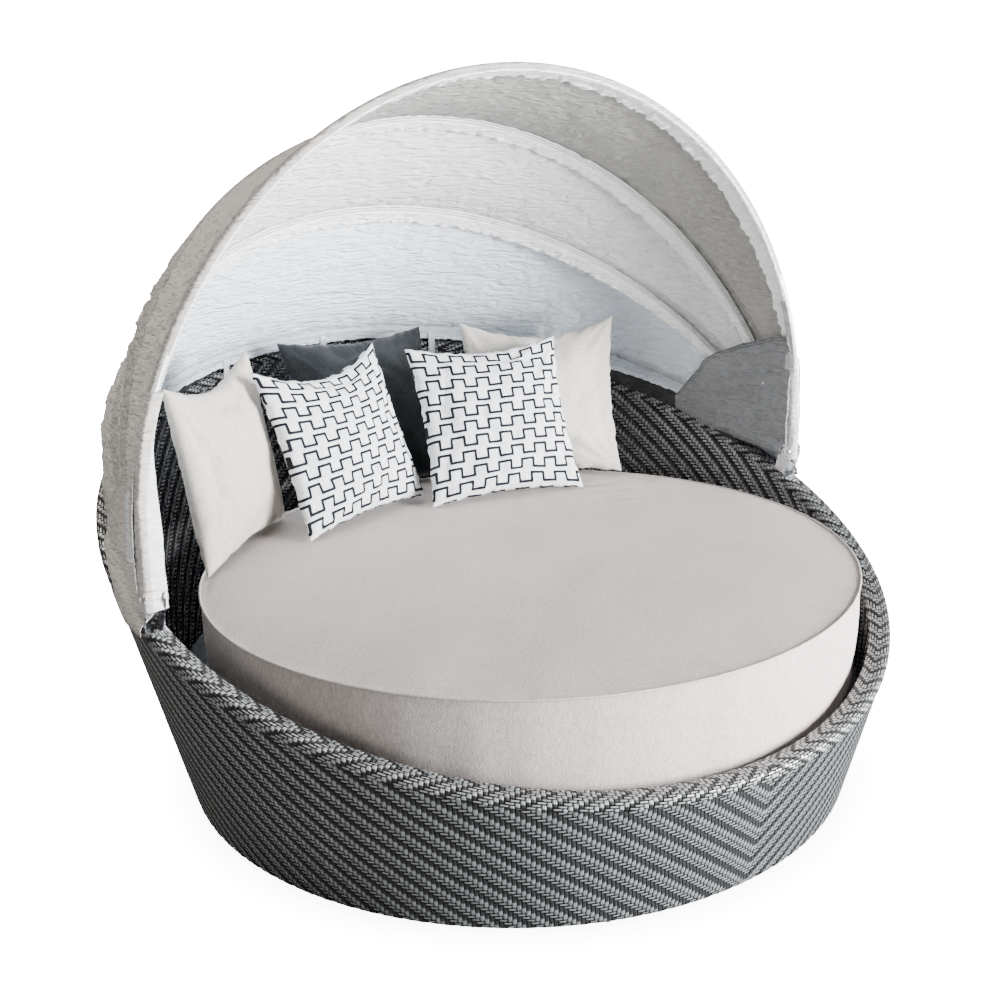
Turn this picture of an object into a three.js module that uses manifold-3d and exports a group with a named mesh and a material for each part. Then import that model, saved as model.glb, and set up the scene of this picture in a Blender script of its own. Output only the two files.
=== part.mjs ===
// Round outdoor daybed: a flared wicker basket, a round mattress with five cushions,
// and a fabric canopy on four bows that turn on a bolt at each side of the rim.
// Millimetres, +Z up, front towards -Y. The origin is on the floor, on the basket's axis,
// at the underside of the centre leg's foot.

import * as THREE from 'three';
import { mergeVertices } from 'three/addons/utils/BufferGeometryUtils.js';
import Module from 'manifold-3d';

const wasm = await Module();
wasm.setup();

// Driving dimensions of the basket
const baseRadius = 770;
const flareShare = 0.2463;
const rimFrontHeight = 289;
const rimSideHeight = 528;
const rimRearHeight = 835;
const rimWidth = 45;
const rimCapHeight = 16;
const rimCapRounding = 9;
const rimCapChamferShare = 0.3;
const wickerThickness = 4;
const wickerFloorGap = 6;

// Driving dimensions of the metal frame
const frameTubeDiameter = 25;
const uprightDiameter = 22;
const uprightCount = 8;
const glideHeight = 10;
const glideDiameter = 22;
const deckBelowRim = 54;
const deckThickness = 12;
const beamWidth = 40;
const beamDepth = 25;
const legDiameter = 32;
const legFootDiameter = 70;
const legFootHeight = 8;

// Driving dimensions of the canopy
const bracketFootForward = 12;
const pivotHeightOverRim = 62;
const boltDiameter = 8;
const boltHeadDiameter = 14;
const boltHeadHeight = 5;
const bracketSheet = 3;
const bracketLength = 64;
const cheekLength = 34;
const screwSpacing = 48;
const screwDiameter = 5;
const screwHeadDiameter = 9;
const screwHeadHeight = 2.5;
const screwDepth = 30;
const bowTubeDiameter = 16;
const bowEndThickness = 4;
const bowEndWidth = 15;
const bowEndLength = 150;
const bowTubeStart = 140;
const bowEyeDiameter = 24;
const spacerWidth = 6;
const spacerDiameter = 18;
const canvasThickness = 1.6;
const canvasSlackShare = 0.045;
const canvasStart = 34;
const strapWidth = 18;
const strapThickness = 1.5;
const strapTail = 62;

// The hem bow rests over the inner edge of the rear rim. Each other bow has a rise, the length of its
// straight legs up from the pivot axis, and a slope of its plane, in degrees from level to the rear.
const hemHeightOverRim = 18.8;
const hemInsideRim = 2.2;
const thirdBowRise = 59.6;
const thirdBowSlope = 42.5;
const secondBowRise = 73;
const secondBowSlope = 64;
const frontBowRise = 75.4;
const frontBowSlope = 89.8;
const bowNames = ['hem_bow', 'third_bow', 'second_bow', 'front_bow'];

// Driving dimensions of the mattress
const mattressWallGap = 34;
const mattressDepthShare = 0.962;
const mattressForwardShare = 0.0855;
const mattressThickness = 245;
const mattressCrown = 16;
const mattressBottomRounding = 34;
const mattressSideDraw = 7;

// The cushions fill the rear half of the mattress. Edge lengths and the places of their middles are
// shares of the mattress radius, thicknesses are shares of the edge; turn, lean and tilt are in degrees.
const plainEdgeShare = 0.5875;
const plainThicknessShare = 0.291;
const patternedEdgeShare = 0.5742;
const patternedThicknessShare = 0.2744;
const cushions = [
  { name: 'left_cushion', patterned: false, place: [-0.6837, 0.5662], turn: 42, lean: 9, tilt: 0 },
  { name: 'rear_cushion', patterned: false, place: [0.0267, 0.9508], turn: -3, lean: 25, tilt: 0 },
  { name: 'right_cushion', patterned: false, place: [0.5849, 0.6516], turn: -26, lean: 17, tilt: 0 },
  { name: 'left_patterned_cushion', patterned: true, place: [-0.2617, 0.6076], turn: 18, lean: 22, tilt: 1 },
  { name: 'right_patterned_cushion', patterned: true, place: [0.3004, 0.5368], turn: -13, lean: 27, tilt: 0 },
];
const cushionDrawShare = 0.07;
const cushionCrownShare = 0.45;

// Clearances
const seatGap = 0.3;
const rimSeatGap = 0.7;
const runningGap = 0.3;
const clothGap = 2;
const strapGap = 0.5;

// How finely round forms are cut
const stationCount = 48;
const sectionSides = 8;
const glideSides = 12;
const legSides = 16;
const fastenerSides = 8;
const hexSides = 6;
const discSides = 12;
const holeSegments = 6;
const archSteps = 30;
const acrossSteps = 5;
const cushionSteps = 12;
const mattressEdgeSteps = 3;
const mattressSideSteps = 3;
const mattressTopSteps = 8;

// Round pieces of the basket are cut at the same stations, set half a step off, so that a flat facet
// lies square to each main direction; flatShare is how far out its middle is, as a share of the radius.
const stationStep = (2 * Math.PI) / stationCount;
const flatShare = Math.cos(stationStep / 2);

function stationAngle(i) {
  return stationStep * (i + 0.5);
}

const group = new THREE.Group();

// Looks of the materials
const looks = {
  wicker: { color: 0x3d4143, roughness: 0.45, metalness: 0.1 },
  frame: { color: 0x9a9ca0, roughness: 0.45, metalness: 0.8 },
  chrome: { color: 0xd5d7da, roughness: 0.15, metalness: 1 },
  plastic: { color: 0x1b1c1d, roughness: 0.6, metalness: 0 },
  canvas: { color: 0xc9c9c8, roughness: 0.9, metalness: 0 },
  strap: { color: 0xe9ebee, roughness: 0.8, metalness: 0 },
  upholstery: { color: 0xc9c1b8, roughness: 0.9, metalness: 0 },
  pattern: { color: 0xdcdcdc, roughness: 0.9, metalness: 0 },
};

function add(name, geometry, look) {
  const mesh = new THREE.Mesh(geometry, new THREE.MeshStandardMaterial(looks[look]));
  mesh.name = name;
  group.add(mesh);
  return mesh;
}

// Makes a geometry from corner points and triangles, with its faces turned outwards.
function closedBody(points, triangles) {
  let volume = 0;
  for (const [a, b, c] of triangles) {
    volume += points[a].dot(new THREE.Vector3().crossVectors(points[b], points[c]));
  }
  const index = triangles.flatMap(([a, b, c]) => (volume < 0 ? [a, c, b] : [a, b, c]));
  const geometry = new THREE.BufferGeometry();
  geometry.setAttribute('position', new THREE.Float32BufferAttribute(points.flatMap((p) => p.toArray()), 3));
  geometry.setIndex(index);
  geometry.computeVertexNormals();
  return geometry;
}

// Joins sections that follow each other round a closed way.
function closedLoop(sections) {
  const size = sections[0].length;
  const triangles = [];
  for (let i = 0; i < sections.length; i += 1) {
    const next = (i + 1) % sections.length;
    for (let j = 0; j < size; j += 1) {
      const k = (j + 1) % size;
      triangles.push([i * size + j, next * size + j, next * size + k]);
      triangles.push([i * size + j, next * size + k, i * size + k]);
    }
  }
  return closedBody(sections.flat(), triangles);
}

function asManifold(geometry) {
  const bare = geometry.clone();
  bare.deleteAttribute('normal');
  bare.deleteAttribute('uv');
  const merged = mergeVertices(bare);
  return new wasm.Manifold(new wasm.Mesh({
    numProp: 3,
    vertProperties: new Float32Array(merged.attributes.position.array),
    triVerts: new Uint32Array(merged.index.array),
  }));
}

function asGeometry(manifold) {
  const mesh = manifold.getMesh();
  const geometry = new THREE.BufferGeometry();
  geometry.setAttribute('position', new THREE.BufferAttribute(new Float32Array(mesh.vertProperties), 3));
  geometry.setIndex(new THREE.BufferAttribute(new Uint32Array(mesh.triVerts), 1));
  geometry.computeVertexNormals();
  return geometry;
}

function joined(...geometries) {
  return asGeometry(geometries.map(asManifold).reduce((whole, next) => whole.add(next)));
}

function cut(geometry, ...tools) {
  const whole = asManifold(geometry);
  return asGeometry(tools.map(asManifold).reduce((left, tool) => left.subtract(tool), whole));
}

// A round section with flat sides above, below, left and right, so that plates seat on it.
function flatSidedSection(diameter, sides) {
  const step = (2 * Math.PI) / sides;
  const cornerRadius = diameter / 2 / Math.cos(step / 2);
  const corners = [];
  for (let i = 0; i < sides; i += 1) {
    const angle = (i + 0.5) * step;
    corners.push(new THREE.Vector2(cornerRadius * Math.cos(angle), cornerRadius * Math.sin(angle)));
  }
  return corners;
}

// A cylinder that stands on the level z = 0 and has flat sides towards X and Y.
function uprightCylinder(diameter, height, sides) {
  return new THREE.ExtrudeGeometry(new THREE.Shape(flatSidedSection(diameter, sides)), {
    depth: height,
    bevelEnabled: false,
  });
}

// The basket's outer face is a cone, and its rim follows a slanted, slightly bowed line.
const rimRise = (rimRearHeight - rimFrontHeight) / 2;
const rimBow = (rimRearHeight + rimFrontHeight) / 2 - rimSideHeight;
const rimSlope = Math.atan(rimRise / (outerRadius(rimSideHeight) - rimWidth / 2));

function outerRadius(height) {
  return baseRadius + flareShare * height;
}

function rimHeight(angle) {
  const rearShare = Math.sin(angle);
  return rimSideHeight + rimRise * rearShare + rimBow * rearShare * rearShare;
}

// Sweeps a section round the basket; section(angle) gives [radius, height] corners.
function aroundBasket(section) {
  const sections = [];
  for (let i = 0; i < stationCount; i += 1) {
    const angle = stationAngle(i);
    sections.push(section(angle).map(([radius, height]) => new THREE.Vector3(
      radius * Math.cos(angle),
      radius * Math.sin(angle),
      height,
    )));
  }
  return closedLoop(sections);
}

const deckHeight = rimFrontHeight - deckBelowRim;

// A woven skin whose outer face lies inset from the basket's outer face.
function wickerSkin(inset, bottomHeight) {
  return aroundBasket((angle) => {
    const top = rimHeight(angle) - rimCapHeight - seatGap;
    const lower = outerRadius(bottomHeight) - inset;
    const upper = outerRadius(top) - inset;
    return [
      [lower, bottomHeight],
      [upper, top],
      [upper - wickerThickness, top],
      [lower - wickerThickness, bottomHeight],
    ];
  });
}

add('outer_wicker_wall', wickerSkin(0, wickerFloorGap), 'wicker');
add('inner_wicker_wall', wickerSkin(rimWidth - wickerThickness, deckHeight + seatGap), 'wicker');

// Frame rings. The base ring lies inside the outer skin, the rim ring fills the space between both skins.
const frameTubeRadius = frameTubeDiameter / 2;
const baseRingHeight = glideHeight + seatGap + frameTubeRadius;
const baseRingFace = outerRadius(baseRingHeight - frameTubeRadius) - wickerThickness - seatGap;
const baseRingRadius = baseRingFace - frameTubeRadius;
const flareAngle = Math.atan(flareShare);
const rimRingDiameter = (rimWidth - 2 * wickerThickness) * Math.cos(flareAngle) - 2 * seatGap;
const rimRingSection = flatSidedSection(rimRingDiameter, sectionSides);
rimRingSection.forEach((p) => p.rotateAround(new THREE.Vector2(), -flareAngle));
const rimRingTop = Math.max(...rimRingSection.map((p) => p.y));
const uprightInset = rimWidth / 2;

function levelRing(radius, height) {
  const middle = new THREE.Vector2(radius, height);
  const profile = flatSidedSection(frameTubeDiameter, sectionSides).map((p) => p.add(middle));
  const sections = [];
  for (let i = 0; i < stationCount; i += 1) {
    const angle = stationAngle(i);
    sections.push(profile.map((p) => new THREE.Vector3(p.x * Math.cos(angle), p.x * Math.sin(angle), p.y)));
  }
  return closedLoop(sections);
}

function rimRingMiddle(angle) {
  const height = rimHeight(angle) - rimCapHeight - rimSeatGap - rimRingTop;
  return [outerRadius(height) - rimWidth / 2, height];
}

add('base_ring', levelRing(baseRingRadius, baseRingHeight), 'frame');

// Uprights stand on the base ring, follow the flare and end under the rim ring.
const uprightFoot = baseRingHeight + frameTubeRadius + seatGap;

function upright(angle) {
  const topHeight = rimRingMiddle(angle)[1] - rimRingTop - uprightDiameter * Math.tan(rimSlope) - seatGap;
  const foot = (outerRadius(uprightFoot) - uprightInset) * flatShare;
  const head = (outerRadius(topHeight) - uprightInset) * flatShare;
  const step = uprightDiameter / 2;
  const corner = (middle, height) => [
    [middle - step, -step],
    [middle + step, -step],
    [middle + step, step],
    [middle - step, step],
  ].map(([radial, along]) => new THREE.Vector3(
    radial * Math.cos(angle) - along * Math.sin(angle),
    radial * Math.sin(angle) + along * Math.cos(angle),
    height,
  ));
  const points = [...corner(foot, uprightFoot), ...corner(head, topHeight)];
  const corners = points.length / 2;
  const triangles = [];
  for (let j = 0; j < corners; j += 1) {
    const k = (j + 1) % corners;
    triangles.push([j, k, k + corners], [j, k + corners, j + corners]);
  }
  for (let j = 1; j + 1 < corners; j += 1) {
    triangles.push([0, j + 1, j], [corners, corners + j, corners + j + 1]);
  }
  return closedBody(points, triangles);
}

const uprightAngles = [];
for (let i = 0; i < uprightCount; i += 1) {
  uprightAngles.push((2 * Math.PI * (i + 0.5)) / uprightCount);
}
uprightAngles.forEach((angle, i) => {
  add(`upright_${i + 1}`, upright(angle), 'frame');
  const glide = add(`glide_${i + 1}`, uprightCylinder(glideDiameter, glideHeight, glideSides), 'plastic');
  const glideRadius = baseRingRadius * flatShare;
  glide.position.set(glideRadius * Math.cos(angle), glideRadius * Math.sin(angle), 0);
});

// Seat: a ring on the inner side of the uprights, beams across it, a leg in the middle and the deck on top.
const deckUnderside = deckHeight - deckThickness;
const seatRingHeight = deckUnderside - seatGap - frameTubeRadius;

function uprightInnerFace(height) {
  return (outerRadius(height) - uprightInset) * flatShare - uprightDiameter / 2;
}

const seatRingLowFace = uprightInnerFace(seatRingHeight - frameTubeRadius) - seatGap;
const seatRingRadius = seatRingLowFace / flatShare - frameTubeRadius;
add('seat_ring', levelRing(seatRingRadius, seatRingHeight), 'frame');

const deckRadius = (uprightInnerFace(deckUnderside) - seatGap) / flatShare;
const deckBody = new THREE.CylinderGeometry(deckRadius, deckRadius, deckThickness, stationCount);
deckBody.rotateY(stationStep / 2);
const deck = add('seat_deck', deckBody, 'frame');
deck.rotation.x = Math.PI / 2;
deck.position.z = deckUnderside + deckThickness / 2;

const beamReach = (seatRingRadius - frameTubeRadius) * flatShare - seatGap;
const beamMiddle = deckUnderside - seatGap - beamDepth / 2;
const crossBeam = add('cross_beam', new THREE.BoxGeometry(2 * beamReach, beamWidth, beamDepth), 'frame');
crossBeam.position.z = beamMiddle;

const halfBeamLength = beamReach - beamWidth / 2 - seatGap;
for (const [name, side] of [['front_half_beam', -1], ['rear_half_beam', 1]]) {
  const beam = add(name, new THREE.BoxGeometry(beamWidth, halfBeamLength, beamDepth), 'frame');
  beam.position.set(0, side * (beamWidth / 2 + seatGap + halfBeamLength / 2), beamMiddle);
}

const legHeight = beamMiddle - beamDepth / 2 - seatGap;
const legProfile = [
  new THREE.Vector2(0, 0),
  new THREE.Vector2(legFootDiameter / 2, 0),
  new THREE.Vector2(legFootDiameter / 2, legFootHeight),
  new THREE.Vector2(legDiameter / 2, legFootHeight),
  new THREE.Vector2(legDiameter / 2, legHeight),
  new THREE.Vector2(0, legHeight),
];
const leg = add('centre_leg', new THREE.LatheGeometry(legProfile, legSides), 'frame');
leg.rotation.x = Math.PI / 2;

// Canopy pivot: the bracket's foot sits square on the sloping rim, and its axis is parallel to X.
const footAngle = -Math.asin(bracketFootForward / outerRadius(rimSideHeight));
const footHeight = rimHeight(footAngle) + rimSeatGap;
const pivot = new THREE.Vector3(
  (outerRadius(rimSideHeight) - rimWidth / 2) * flatShare,
  -bracketFootForward - pivotHeightOverRim * Math.sin(rimSlope),
  footHeight + pivotHeightOverRim * Math.cos(rimSlope),
);

const bowPitch = bowEndThickness + spacerWidth + 2 * runningGap;
const stackWidth = (bowNames.length - 1) * bowPitch + bowEndThickness;
const cheekInside = stackWidth / 2 + runningGap;
const cheekOutside = cheekInside + bracketSheet;

// Places a geometry that is drawn about the pivot axis, with its own Z square to the sloping rim.
function onBracket(geometry, side) {
  geometry.rotateX(rimSlope);
  geometry.translate(side * pivot.x, pivot.y, pivot.z);
  return geometry;
}

function circleHole(x, y, diameter) {
  const hole = new THREE.Path();
  hole.absarc(x, y, diameter / 2, 0, 2 * Math.PI, true);
  return hole;
}

// A plate whose outline is drawn in the Y-Z plane, centred on x.
function sidePlate(shape, thickness, x) {
  const geometry = new THREE.ExtrudeGeometry(shape, {
    depth: thickness,
    bevelEnabled: false,
    curveSegments: holeSegments,
  });
  geometry.translate(0, 0, -thickness / 2);
  geometry.rotateY(Math.PI / 2);
  geometry.rotateX(Math.PI / 2);
  geometry.translate(x, 0, 0);
  return geometry;
}

const bracketFloor = -pivotHeightOverRim;

function bracket(side) {
  const base = new THREE.Shape();
  base.moveTo(-cheekOutside, -bracketLength / 2);
  base.lineTo(cheekOutside, -bracketLength / 2);
  base.lineTo(cheekOutside, bracketLength / 2);
  base.lineTo(-cheekOutside, bracketLength / 2);
  base.closePath();
  for (const end of [-1, 1]) {
    base.holes.push(circleHole(0, (end * screwSpacing) / 2, screwDiameter + 2 * runningGap));
  }
  const basePlate = new THREE.ExtrudeGeometry(base, {
    depth: bracketSheet,
    bevelEnabled: false,
    curveSegments: holeSegments,
  });
  basePlate.translate(0, 0, bracketFloor);
  const cheeks = [-1, 1].map((hand) => {
    const outline = new THREE.Shape();
    outline.moveTo(-cheekLength / 2, bracketFloor);
    outline.lineTo(cheekLength / 2, bracketFloor);
    outline.lineTo(cheekLength / 2, 0);
    outline.absarc(0, 0, cheekLength / 2, 0, Math.PI, false);
    outline.closePath();
    outline.holes.push(circleHole(0, 0, boltDiameter + 2 * runningGap));
    return sidePlate(outline, bracketSheet, hand * (cheekInside + bracketSheet / 2));
  });
  return onBracket(joined(basePlate, ...cheeks), side);
}

function discOnAxis(diameter, width, x, sides) {
  const geometry = new THREE.CylinderGeometry(diameter / 2, diameter / 2, width, sides);
  geometry.rotateZ(Math.PI / 2);
  geometry.translate(x, 0, 0);
  return geometry;
}

// The bolt's head is outside, the nut inside. Lengths run along +X from the cheek that faces outwards.
const boltEnd = cheekOutside + seatGap + boltHeadHeight + seatGap;

function bolt(side) {
  const shankLength = cheekOutside + seatGap + boltEnd;
  const shankMiddle = (cheekOutside + seatGap - boltEnd) / 2;
  const shank = discOnAxis(boltDiameter, shankLength, side * shankMiddle, discSides);
  const headMiddle = side * (cheekOutside + seatGap + boltHeadHeight / 2);
  const head = discOnAxis(boltHeadDiameter, boltHeadHeight, headMiddle, hexSides);
  return onBracket(joined(shank, head), side);
}

function nut(side) {
  const outline = new THREE.Shape();
  for (let i = 0; i < hexSides; i += 1) {
    const angle = (2 * Math.PI * i) / hexSides;
    const y = (boltHeadDiameter / 2) * Math.cos(angle);
    const z = (boltHeadDiameter / 2) * Math.sin(angle);
    if (i === 0) outline.moveTo(y, z);
    else outline.lineTo(y, z);
  }
  outline.closePath();
  outline.holes.push(circleHole(0, 0, boltDiameter + 2 * runningGap));
  const middle = -side * (cheekOutside + seatGap + boltHeadHeight / 2);
  return onBracket(sidePlate(outline, boltHeadHeight, middle), side);
}

function ringOnAxis(outside, inside, width, x) {
  const outline = new THREE.Shape();
  outline.absarc(0, 0, outside / 2, 0, 2 * Math.PI, false);
  outline.holes.push(circleHole(0, 0, inside));
  return sidePlate(outline, width, x);
}

function bowOffset(index) {
  return (index - (bowNames.length - 1) / 2) * bowPitch;
}

function bracketScrew(side, end) {
  const y = (end * screwSpacing) / 2;
  const headBottom = bracketFloor + bracketSheet + seatGap;
  const shank = uprightCylinder(screwDiameter, screwDepth, fastenerSides);
  shank.translate(0, y, headBottom - screwDepth);
  const head = uprightCylinder(screwHeadDiameter, screwHeadHeight, fastenerSides);
  head.translate(0, y, headBottom);
  return onBracket(joined(shank, head), side);
}

function screwHole(side, end) {
  const hole = uprightCylinder(screwDiameter + 2 * runningGap, screwDepth + 2 * bracketSheet, fastenerSides);
  hole.translate(0, (end * screwSpacing) / 2, bracketFloor - screwDepth);
  return onBracket(hole, side);
}

const sides = [['left', -1], ['right', 1]];
const screwEnds = [['front', -1], ['rear', 1]];
const screwHoles = sides.flatMap(([, side]) => screwEnds.map(([, end]) => screwHole(side, end)));

// The rim: a round bar between the skins, and the wrapped cap over it, both drilled for the bracket screws.
function rimRing() {
  const ring = aroundBasket((angle) => {
    const [radius, height] = rimRingMiddle(angle);
    return rimRingSection.map((p) => [radius + p.x, height + p.y]);
  });
  return cut(ring, ...screwHoles);
}

function rimCap() {
  const cap = aroundBasket((angle) => {
    const top = rimHeight(angle);
    const bottom = top - rimCapHeight;
    const outer = outerRadius(bottom);
    const inner = outer - rimWidth;
    const shoulder = top - rimCapRounding;
    return [
      [outer, bottom],
      [outer, shoulder],
      [outer - rimCapRounding * rimCapChamferShare, top - rimCapRounding * rimCapChamferShare],
      [outer - rimCapRounding, top],
      [inner + rimCapRounding, top],
      [inner + rimCapRounding * rimCapChamferShare, top - rimCapRounding * rimCapChamferShare],
      [inner, shoulder],
      [inner, bottom],
    ];
  });
  return cut(cap, ...screwHoles);
}

add('rim_ring', rimRing(), 'frame');
add('rim_wrap', rimCap(), 'wicker');

for (const [word, side] of sides) {
  add(`${word}_bracket`, bracket(side), 'chrome');
  add(`${word}_bolt`, bolt(side), 'chrome');
  add(`${word}_nut`, nut(side), 'chrome');
  for (let i = 0; i + 1 < bowNames.length; i += 1) {
    const x = side * (bowOffset(i) + bowPitch / 2);
    const spacer = ringOnAxis(spacerDiameter, boltDiameter + 2 * runningGap, spacerWidth, x);
    add(`${word}_spacer_${i + 1}`, onBracket(spacer, side), 'plastic');
  }
  for (const [endWord, end] of screwEnds) {
    add(`${word}_${endWord}_screw`, bracketScrew(side, end), 'chrome');
  }
}

// A bow's way in its own plane: two straight legs and a half circle. x runs across, y away from the pivot.
function bowWidthHalf(index) {
  return pivot.x + bowOffset(index);
}

const hemTop = new THREE.Vector2(
  outerRadius(rimRearHeight) - rimWidth - hemInsideRim - pivot.y,
  rimRearHeight + hemHeightOverRim - pivot.z,
);
const bowReaches = [
  hemTop.length(),
  bowWidthHalf(1) + thirdBowRise,
  bowWidthHalf(2) + secondBowRise,
  bowWidthHalf(3) + frontBowRise,
];
const bowSlopes = [
  hemTop.angle(),
  THREE.MathUtils.degToRad(thirdBowSlope),
  THREE.MathUtils.degToRad(secondBowSlope),
  THREE.MathUtils.degToRad(frontBowSlope),
];

class BowLine extends THREE.Curve {
  constructor(halfWidth, reach, start) {
    super();
    this.halfWidth = halfWidth;
    this.legTop = reach - halfWidth;
    this.legLength = Math.max(this.legTop - start, 0);
    this.startAngle = Math.asin(Math.max(start - this.legTop, 0) / halfWidth);
    this.arcLength = (Math.PI - 2 * this.startAngle) * halfWidth;
  }

  getPoint(share, target = new THREE.Vector3()) {
    const total = this.arcLength + 2 * this.legLength;
    const along = share * total;
    if (along < this.legLength) {
      return target.set(this.halfWidth, this.legTop - this.legLength + along, 0);
    }
    if (along > total - this.legLength) {
      return target.set(-this.halfWidth, this.legTop - along + total - this.legLength, 0);
    }
    const angle = this.startAngle + (along - this.legLength) / this.halfWidth;
    return target.set(this.halfWidth * Math.cos(angle), this.legTop + this.halfWidth * Math.sin(angle), 0);
  }
}

// Turns a bow's plane from level with +Y up to its slope, and moves it to the pivot axis.
function inBowPlane(geometry, slope) {
  geometry.rotateX(slope);
  geometry.translate(0, pivot.y, pivot.z);
  return geometry;
}

function bow(index) {
  const halfWidth = bowWidthHalf(index);
  const line = new BowLine(halfWidth, bowReaches[index], bowTubeStart);
  const tube = new THREE.ExtrudeGeometry(new THREE.Shape(flatSidedSection(bowTubeDiameter, sectionSides)), {
    steps: archSteps,
    extrudePath: line,
    bevelEnabled: false,
  });
  const ends = [-1, 1].map((side) => {
    const outline = new THREE.Shape();
    const eyeRadius = bowEyeDiameter / 2;
    const neck = Math.asin(bowEndWidth / 2 / eyeRadius);
    outline.absarc(0, 0, eyeRadius, Math.PI / 2 + neck, Math.PI / 2 - neck + 2 * Math.PI, false);
    outline.lineTo(bowEndWidth / 2, bowEndLength);
    outline.lineTo(-bowEndWidth / 2, bowEndLength);
    outline.closePath();
    outline.holes.push(circleHole(0, 0, boltDiameter + 2 * runningGap));
    const end = new THREE.ExtrudeGeometry(outline, {
      depth: bowEndThickness,
      bevelEnabled: false,
      curveSegments: holeSegments,
    });
    end.translate(0, 0, -bowEndThickness / 2);
    end.rotateY(Math.PI / 2);
    end.translate(side * halfWidth, 0, 0);
    return end;
  });
  return inBowPlane(joined(tube, ...ends), bowSlopes[index]);
}

bowNames.forEach((name, index) => add(name, bow(index), 'frame'));

// Canopy cloth: a panel spans from each bow to the next one over the outside of the tubes,
// with a little slack.
const ridgeOffset = bowTubeDiameter / 2 + clothGap;
const clothSteps = archSteps + 2;

function ridge(index) {
  const halfWidth = bowWidthHalf(index) + ridgeOffset;
  const line = new BowLine(halfWidth, bowReaches[index] + ridgeOffset, bowTubeStart);
  const axisPoint = new THREE.Vector3(0, pivot.y, pivot.z);
  const turnUp = (v) => v.applyAxisAngle(new THREE.Vector3(1, 0, 0), bowSlopes[index]);
  // The cloth has the tube's own steps, and one more at each end that reaches down towards the bolt.
  const onLine = (step) => {
    if (step === 0) return new THREE.Vector3(halfWidth, canvasStart, 0);
    if (step === clothSteps) return new THREE.Vector3(-halfWidth, canvasStart, 0);
    return line.getPoint((step - 1) / archSteps);
  };
  return {
    point: (step) => turnUp(onLine(step)).add(axisPoint),
    outward: (step) => {
      const place = onLine(step);
      const away = new THREE.Vector3(place.x, Math.max(place.y - line.legTop, 0), 0);
      return turnUp(away.normalize());
    },
  };
}

// One layer of points from edge to edge of a panel; lift is the distance outwards from the inner face.
// The cloth hangs inwards between its edges on a parabola, deepest in the middle.
function panelRow(lower, upper, step, lift) {
  const low = lower.point(step);
  const high = upper.point(step);
  const span = low.distanceTo(high);
  const row = [];
  for (let j = 0; j <= acrossSteps; j += 1) {
    const across = j / acrossSteps;
    const edgeShift = ((0.5 - across) * seatGap) / span;
    const outward = lower.outward(step).lerp(upper.outward(step), across).normalize();
    const sag = canvasSlackShare * span * (1 - (2 * across - 1) ** 2);
    row.push(low.clone().lerp(high, across + edgeShift).addScaledVector(outward, lift - sag));
  }
  return row;
}

function panel(index) {
  const lower = ridge(index);
  const upper = ridge(index + 1);
  const size = acrossSteps + 1;
  const points = [];
  const triangles = [];
  const quad = (a, b, c, d) => triangles.push([a, b, c], [a, c, d]);
  for (let i = 0; i <= clothSteps; i += 1) {
    points.push(...panelRow(lower, upper, i, 0));
    points.push(...panelRow(lower, upper, i, canvasThickness));
  }
  const inner = (i, j) => i * 2 * size + j;
  const outer = (i, j) => i * 2 * size + size + j;
  for (let i = 0; i < clothSteps; i += 1) {
    for (let j = 0; j < acrossSteps; j += 1) {
      quad(inner(i, j), inner(i + 1, j), inner(i + 1, j + 1), inner(i, j + 1));
      quad(outer(i, j), outer(i, j + 1), outer(i + 1, j + 1), outer(i + 1, j));
    }
    quad(inner(i, 0), outer(i, 0), outer(i + 1, 0), inner(i + 1, 0));
    quad(inner(i, acrossSteps), inner(i + 1, acrossSteps), outer(i + 1, acrossSteps), outer(i, acrossSteps));
  }
  for (let j = 0; j < acrossSteps; j += 1) {
    quad(inner(0, j), inner(0, j + 1), outer(0, j + 1), outer(0, j));
    quad(inner(clothSteps, j), outer(clothSteps, j), outer(clothSteps, j + 1), inner(clothSteps, j + 1));
  }
  return closedBody(points, triangles);
}

['rear_panel', 'middle_panel', 'front_panel'].forEach((name, index) => add(name, panel(index), 'canvas'));

// Straps tie the hem bow to the rear rim: each hangs from the bow's inner side down the inner wall.
const strapTurns = [-22, 0, 22];

function strap(turn) {
  const halfWidth = bowWidthHalf(0);
  const turnAngle = THREE.MathUtils.degToRad(turn);
  const away = bowReaches[0] - halfWidth + halfWidth * Math.cos(turnAngle);
  const bowMiddle = new THREE.Vector3(
    halfWidth * Math.sin(turnAngle),
    pivot.y + away * Math.cos(bowSlopes[0]),
    pivot.z + away * Math.sin(bowSlopes[0]),
  );
  const bearing = Math.round(Math.atan2(bowMiddle.y, bowMiddle.x) / stationStep) * stationStep;
  const bowRadius = bowMiddle.x * Math.cos(bearing) + bowMiddle.y * Math.sin(bearing);
  const sideways = bowMiddle.y * Math.cos(bearing) - bowMiddle.x * Math.sin(bearing);
  const wallFace = (height) => (outerRadius(height) - rimWidth) * flatShare - strapGap;
  const capBottom = rimHeight(bearing) - rimCapHeight;
  const tailEnd = capBottom - strapTail;
  const facetDepth = halfWidth * (1 - Math.cos(Math.PI / archSteps / 2));
  const bowInside = bowTubeDiameter / 2 / Math.cos(Math.PI / sectionSides) + facetDepth;
  const backLine = [
    [bowRadius - bowInside - strapGap, bowMiddle.z],
    [wallFace(capBottom), capBottom],
    [wallFace(tailEnd), tailEnd],
  ];
  const outline = new THREE.Shape();
  outline.moveTo(...backLine[0]);
  outline.lineTo(...backLine[1]);
  outline.lineTo(...backLine[2]);
  for (const [radius, height] of [...backLine].reverse()) {
    outline.lineTo(radius - strapThickness, height);
  }
  outline.closePath();
  const geometry = new THREE.ExtrudeGeometry(outline, { depth: strapWidth, bevelEnabled: false });
  geometry.translate(0, 0, -strapWidth / 2 - sideways);
  geometry.rotateX(Math.PI / 2);
  geometry.rotateZ(bearing);
  return geometry;
}

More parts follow.
